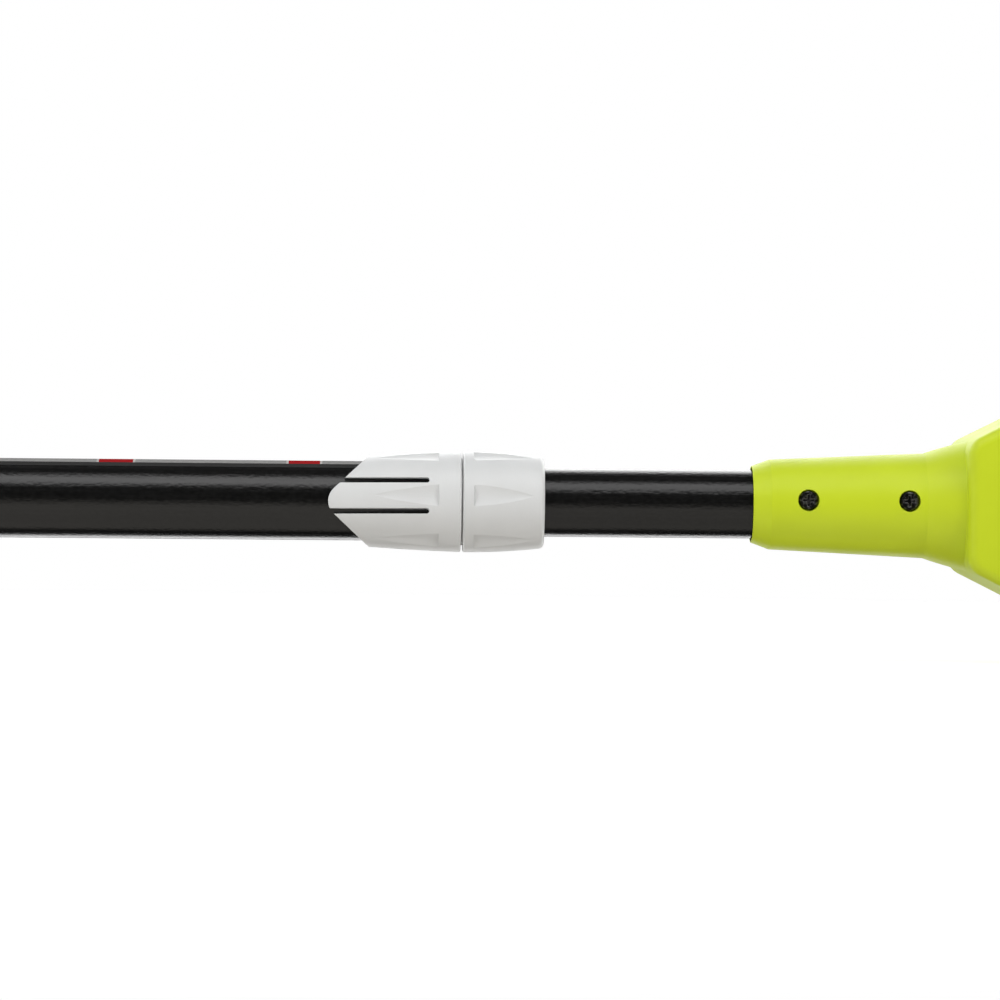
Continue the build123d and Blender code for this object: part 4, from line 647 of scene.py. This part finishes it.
class POLESAW_OT_label_strip(bpy.types.Operator):
    """Lays a blank printed strip along the top of the outer tube"""
    bl_idname = "polesaw.label_strip"
    bl_label = "Label strip"

    def execute(self, context):
        finish = context.scene.pole_saw_finish
        trim = context.scene.pole_saw_trim
        front = sleeve_tip + trim.strip_lap
        rear = front - trim.strip_length
        points, faces = film_on_tube(rear, front, tube_radius, trim.strip_thickness, trim.strip_half_angle)
        film = printed_film("strip_film", finish.strip, finish.strip_edge, finish.strip_bar,
                            finish.strip_margin, strip_bars, strip_line, trim.strip_panel)
        piece = put_in_scene("label_strip", points, faces, film)
        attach(piece, "rear_handle")
        mesh = piece.data
        corners = np.empty(len(mesh.loops), int)
        mesh.loops.foreach_get("vertex_index", corners)
        along, across, high = points.reshape(-1, 3)[corners].T
        turn = np.arctan2(across, high) / trim.strip_half_angle
        flat = np.stack([(along - rear) / trim.strip_length, (1 + turn) / 2], axis=1)
        mesh.uv_layers.new(name="strip").data.foreach_set("uv", flat.ravel())
        return {"FINISHED"}


class POLESAW_OT_lead(bpy.types.Operator):
    """Makes the coiled lead inside the poles in its rest shape and hides the plain power cable; the mesh
    itself does not stretch as the poles slide
    """
    bl_idname = "polesaw.lead"
    bl_label = "Coiled lead"

    def execute(self, context):
        finish = context.scene.pole_saw_finish
        trim = context.scene.pole_saw_trim
        low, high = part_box("power_cable")
        coil_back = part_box("slide_bush")[1].x + trim.lead_set_back
        coil = (coil_back, coil_back + trim.lead_coil)
        points, faces = coiled_lead(low.x, high.x, coil, trim.lead_offset, trim.lead_radius, trim.lead_turns)
        rubber = soft_rubber("lead_rubber", finish.rubber, finish.dust)
        piece = put_in_scene("coiled_lead", points, faces, rubber)
        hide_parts("power_cable")
        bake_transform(piece)
        return {"FINISHED"}


class POLESAW_OT_charge_gauge(bpy.types.Operator):
    """Sets a row of charge bars into the battery's back"""
    bl_idname = "polesaw.charge_gauge"
    bl_label = "Charge gauge"

    def execute(self, context):
        finish = context.scene.pole_saw_finish
        trim = context.scene.pole_saw_trim
        lens = moulded("gauge_lens", finish.gauge, finish.gauge_shade,
                       roughness=0.22, grain=0.0008, depth=0.00001, ease=0.0)
        low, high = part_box("battery_rear_case")
        step = trim.charge_bar_length + trim.charge_bar_gap
        height = high.z - trim.charge_bar_drop
        for number in range(trim.charge_bars):
            across = (number - (trim.charge_bars - 1) / 2) * step
            points, faces = crowned_pad((low.x, across, height), trim.charge_bar_width / 2,
                                        trim.charge_bar_length / 2, trim.charge_bar_height)
            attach(put_in_scene(f"charge_bar_{number + 1}", points, faces, lens), "battery")
        return {"FINISHED"}


def camera_matrix(target, distance, yaw, roll):
    """The camera's place: back from the target along its line of sight, which looks along Y turned by yaw
    towards X, with the picture's right and up turned by roll about that line."""
    sight = Vector((math.sin(yaw), math.cos(yaw), 0.0))
    flat_right = Vector((math.cos(yaw), -math.sin(yaw), 0.0))
    right = flat_right * math.cos(roll) + Vector((0, 0, 1)) * math.sin(roll)
    up = right.cross(sight)
    turned = Matrix((right, up, -sight)).transposed().to_4x4()
    return Matrix.Translation(Vector(target) - sight * distance) @ turned


def aimed_light(name, place, target, size, power, lit=True, mirrored=True):
    """A rectangular soft light at a place, turned to face its target. Surfaces are lit by it if lit is set,
    and show it in their gloss if mirrored is set."""
    lamp = bpy.data.lights.new(name, "AREA")
    lamp.shape = "RECTANGLE"
    lamp.size, lamp.size_y = size
    lamp.energy = power
    piece = bpy.data.objects.new(name, lamp)
    aim = Vector(target) - Vector(place)
    piece.matrix_world = Matrix.Translation(place) @ aim.to_track_quat("-Z", "Y").to_matrix().to_4x4()
    piece.visible_camera = False
    piece.visible_diffuse = lit
    piece.visible_glossy = mirrored
    bpy.context.scene.collection.objects.link(piece)


def surround(stage):
    """A studio's surround. Seen by the camera it is white all round. For light and reflections its brightness
    depends on the angle about the saw's length, from the camera's side (0 degrees) up over the top."""
    world = bpy.data.worlds.new("studio_surround")
    world.use_nodes = True
    tree = world.node_tree
    place = tree.nodes.new("ShaderNodeTexCoord")
    split = tree.nodes.new("ShaderNodeSeparateXYZ")
    tree.links.new(place.outputs["Generated"], split.inputs["Vector"])
    towards = tree.nodes.new("ShaderNodeMath")
    towards.operation = "MULTIPLY"
    towards.inputs[1].default_value = -1.0
    tree.links.new(split.outputs["Y"], towards.inputs[0])
    angle = tree.nodes.new("ShaderNodeMath")
    angle.operation = "ARCTAN2"
    tree.links.new(split.outputs["Z"], angle.inputs[0])
    tree.links.new(towards.outputs["Value"], angle.inputs[1])
    turn = tree.nodes.new("ShaderNodeMapRange")
    turn.inputs["From Min"].default_value = -math.pi
    turn.inputs["From Max"].default_value = math.pi
    tree.links.new(angle.outputs["Value"], turn.inputs["Value"])
    ramp = tree.nodes.new("ShaderNodeValToRGB")
    stops = ((-180, stage.skirting, white), (-164, stage.skirting, white),
             (-160, stage.low_backdrop, white), (-137, stage.low_backdrop, white),
             (-128, stage.shade, white), (-103, stage.shade, white),
             (-96, stage.table_edge, table_tint), (-18, stage.table, table_tint),
             (-3, stage.shade, white), (114, stage.shade, white),
             (127, stage.backdrop, white), (180, stage.backdrop, white))
    elements = ramp.color_ramp.elements
    while len(elements) < len(stops):
        elements.new(ramp_middle)
    for element, (degrees, bright, tint) in zip(elements, stops):
        element.position = (degrees + 180) / 360
        element.color = (*(bright * channel for channel in tint), 1.0)
    tree.links.new(turn.outputs["Result"], ramp.inputs["Fac"])
    seen = tree.nodes.new("ShaderNodeLightPath")
    shown = tree.nodes.new("ShaderNodeMix")
    shown.data_type = "RGBA"
    tree.links.new(seen.outputs["Is Camera Ray"], shown.inputs["Factor"])
    tree.links.new(ramp.outputs["Color"], shown.inputs[mix_first])
    shown.inputs[mix_second].default_value = (*white, 1.0)
    tree.links.new(shown.outputs[mix_result], tree.nodes["Background"].inputs["Color"])
    bpy.context.scene.world = world


def pale_floor(stage, height, reach=floor_reach, around=64):
    """A flat disc under the saw: a circle about the saw's middle, joined at the centre."""
    turn = np.linspace(0.0, 2 * np.pi, around, endpoint=False)
    rim = np.stack([reach * np.cos(turn), reach * np.sin(turn), np.full(around, height)], axis=1)
    points = np.concatenate([rim, [[0.0, 0.0, height]]])
    following = np.roll(np.arange(around), -1)
    faces = np.stack([np.arange(around), following, np.full(around, around)], axis=1).tolist()
    made = Finish("floor_paper", specular=0.1)
    made.shader.inputs["Emission Color"].default_value = (*white, 1.0)
    made.shader.inputs["Emission Strength"].default_value = stage.floor_glow
    fine = made.noise(size=0.004)
    dull = made.spread(fine, low=0.85, high=0.95)
    made.surface(stage.floor_paper, dull, fine, depth=0.00002, ease=0.0)
    mesh = bpy.data.meshes.new("floor")
    mesh.from_pydata(points, [], faces)
    mesh.materials.append(made.material)
    floor = bpy.data.objects.new("floor", mesh)
    bpy.context.scene.collection.objects.link(floor)
    floor.visible_diffuse = False
    floor.visible_glossy = False


class POLESAW_OT_stage(bpy.types.Operator):
    """Makes the camera, the pale floor, the surround and the soft light"""
    bl_idname = "polesaw.stage"
    bl_label = "Stage"

    def execute(self, context):
        stage = context.scene.pole_saw_stage
        optics = bpy.data.cameras.new("camera")
        optics.sensor_width = sensor_width
        optics.lens = stage.focal * mm_per_metre
        camera = bpy.data.objects.new("camera", optics)
        camera.matrix_world = camera_matrix(stage.target, stage.distance, stage.yaw, stage.roll)
        context.scene.collection.objects.link(camera)
        context.scene.camera = camera
        surround(stage)
        pale_floor(stage, cad_box[0][2])
        aimed_light("softbox", softbox_place, softbox_aim, softbox_size, stage.softbox)
        sides = (("left", -1), ("right", 1))
        fills = (("low", low_fill_place, stage.low_fill), ("high", high_fill_place, stage.high_fill))
        for (side, way), (level, (x, y, z), power) in itertools.product(sides, fills):
            place = (stage.target[0] + way * x, y, z)
            aimed_light(f"{level}_fill_{side}", place, stage.target, fill_size, power, mirrored=False)
        for name, (low, high), shine in (("high_wall", high_wall, stage.backdrop_shine),
                                         ("low_wall", low_wall, stage.low_backdrop_shine)):
            middle = (low + high) / 2
            size = (wall_length, high - low)
            power = math.pi * shine * size[0] * size[1]
            aimed_light(name, (0.0, wall_distance, middle), (0.0, 0.0, middle), size, power, lit=False)
        context.scene.view_settings.view_transform = "Standard"
        return {"FINISHED"}


steps = (
    POLESAW_OT_poles,
    POLESAW_OT_lock_collar,
    POLESAW_OT_cases,
    POLESAW_OT_black_plastic,
    POLESAW_OT_grips,
    POLESAW_OT_bar_and_chain,
    POLESAW_OT_drive,
    POLESAW_OT_fasteners,
    POLESAW_OT_label_strip,
    POLESAW_OT_lead,
    POLESAW_OT_charge_gauge,
    POLESAW_OT_stage,
)


groups = {
    "pole_saw_finish": PoleSawFinish,
    "pole_saw_trim": PoleSawTrim,
    "pole_saw_stage": PoleSawStage,
}


class POLESAW_PT_panel(bpy.types.Panel):
    """Lists the saw's steps and its sizes and colours"""
    bl_idname = "POLESAW_PT_panel"
    bl_label = "Pole saw"
    bl_space_type = "VIEW_3D"
    bl_region_type = "UI"
    bl_category = "Pole saw"

    def draw(self, context):
        for step in steps:
            self.layout.operator(step.bl_idname, text=step.bl_label)
        for group in (getattr(context.scene, name) for name in groups):
            section = self.layout.box()
            for name in group.__annotations__:
                section.prop(group, name)


def register():
    """Registers the classes and hangs the property groups on the scene."""
    for kind in (*groups.values(), *steps, POLESAW_PT_panel):
        bpy.utils.register_class(kind)
    for name, kind in groups.items():
        setattr(bpy.types.Scene, name, PointerProperty(type=kind))


def unregister():
    """Takes the property groups off the scene and unregisters the classes."""
    for name in groups:
        delattr(bpy.types.Scene, name)
    for kind in reversed((*groups.values(), *steps, POLESAW_PT_panel)):
        bpy.utils.unregister_class(kind)


def main():
    """Registers the add-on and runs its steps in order."""
    register()
    for step in steps:
        family, name = step.bl_idname.split(".")
        getattr(getattr(bpy.ops, family), name)()


if __name__ == "__main__":
    main()
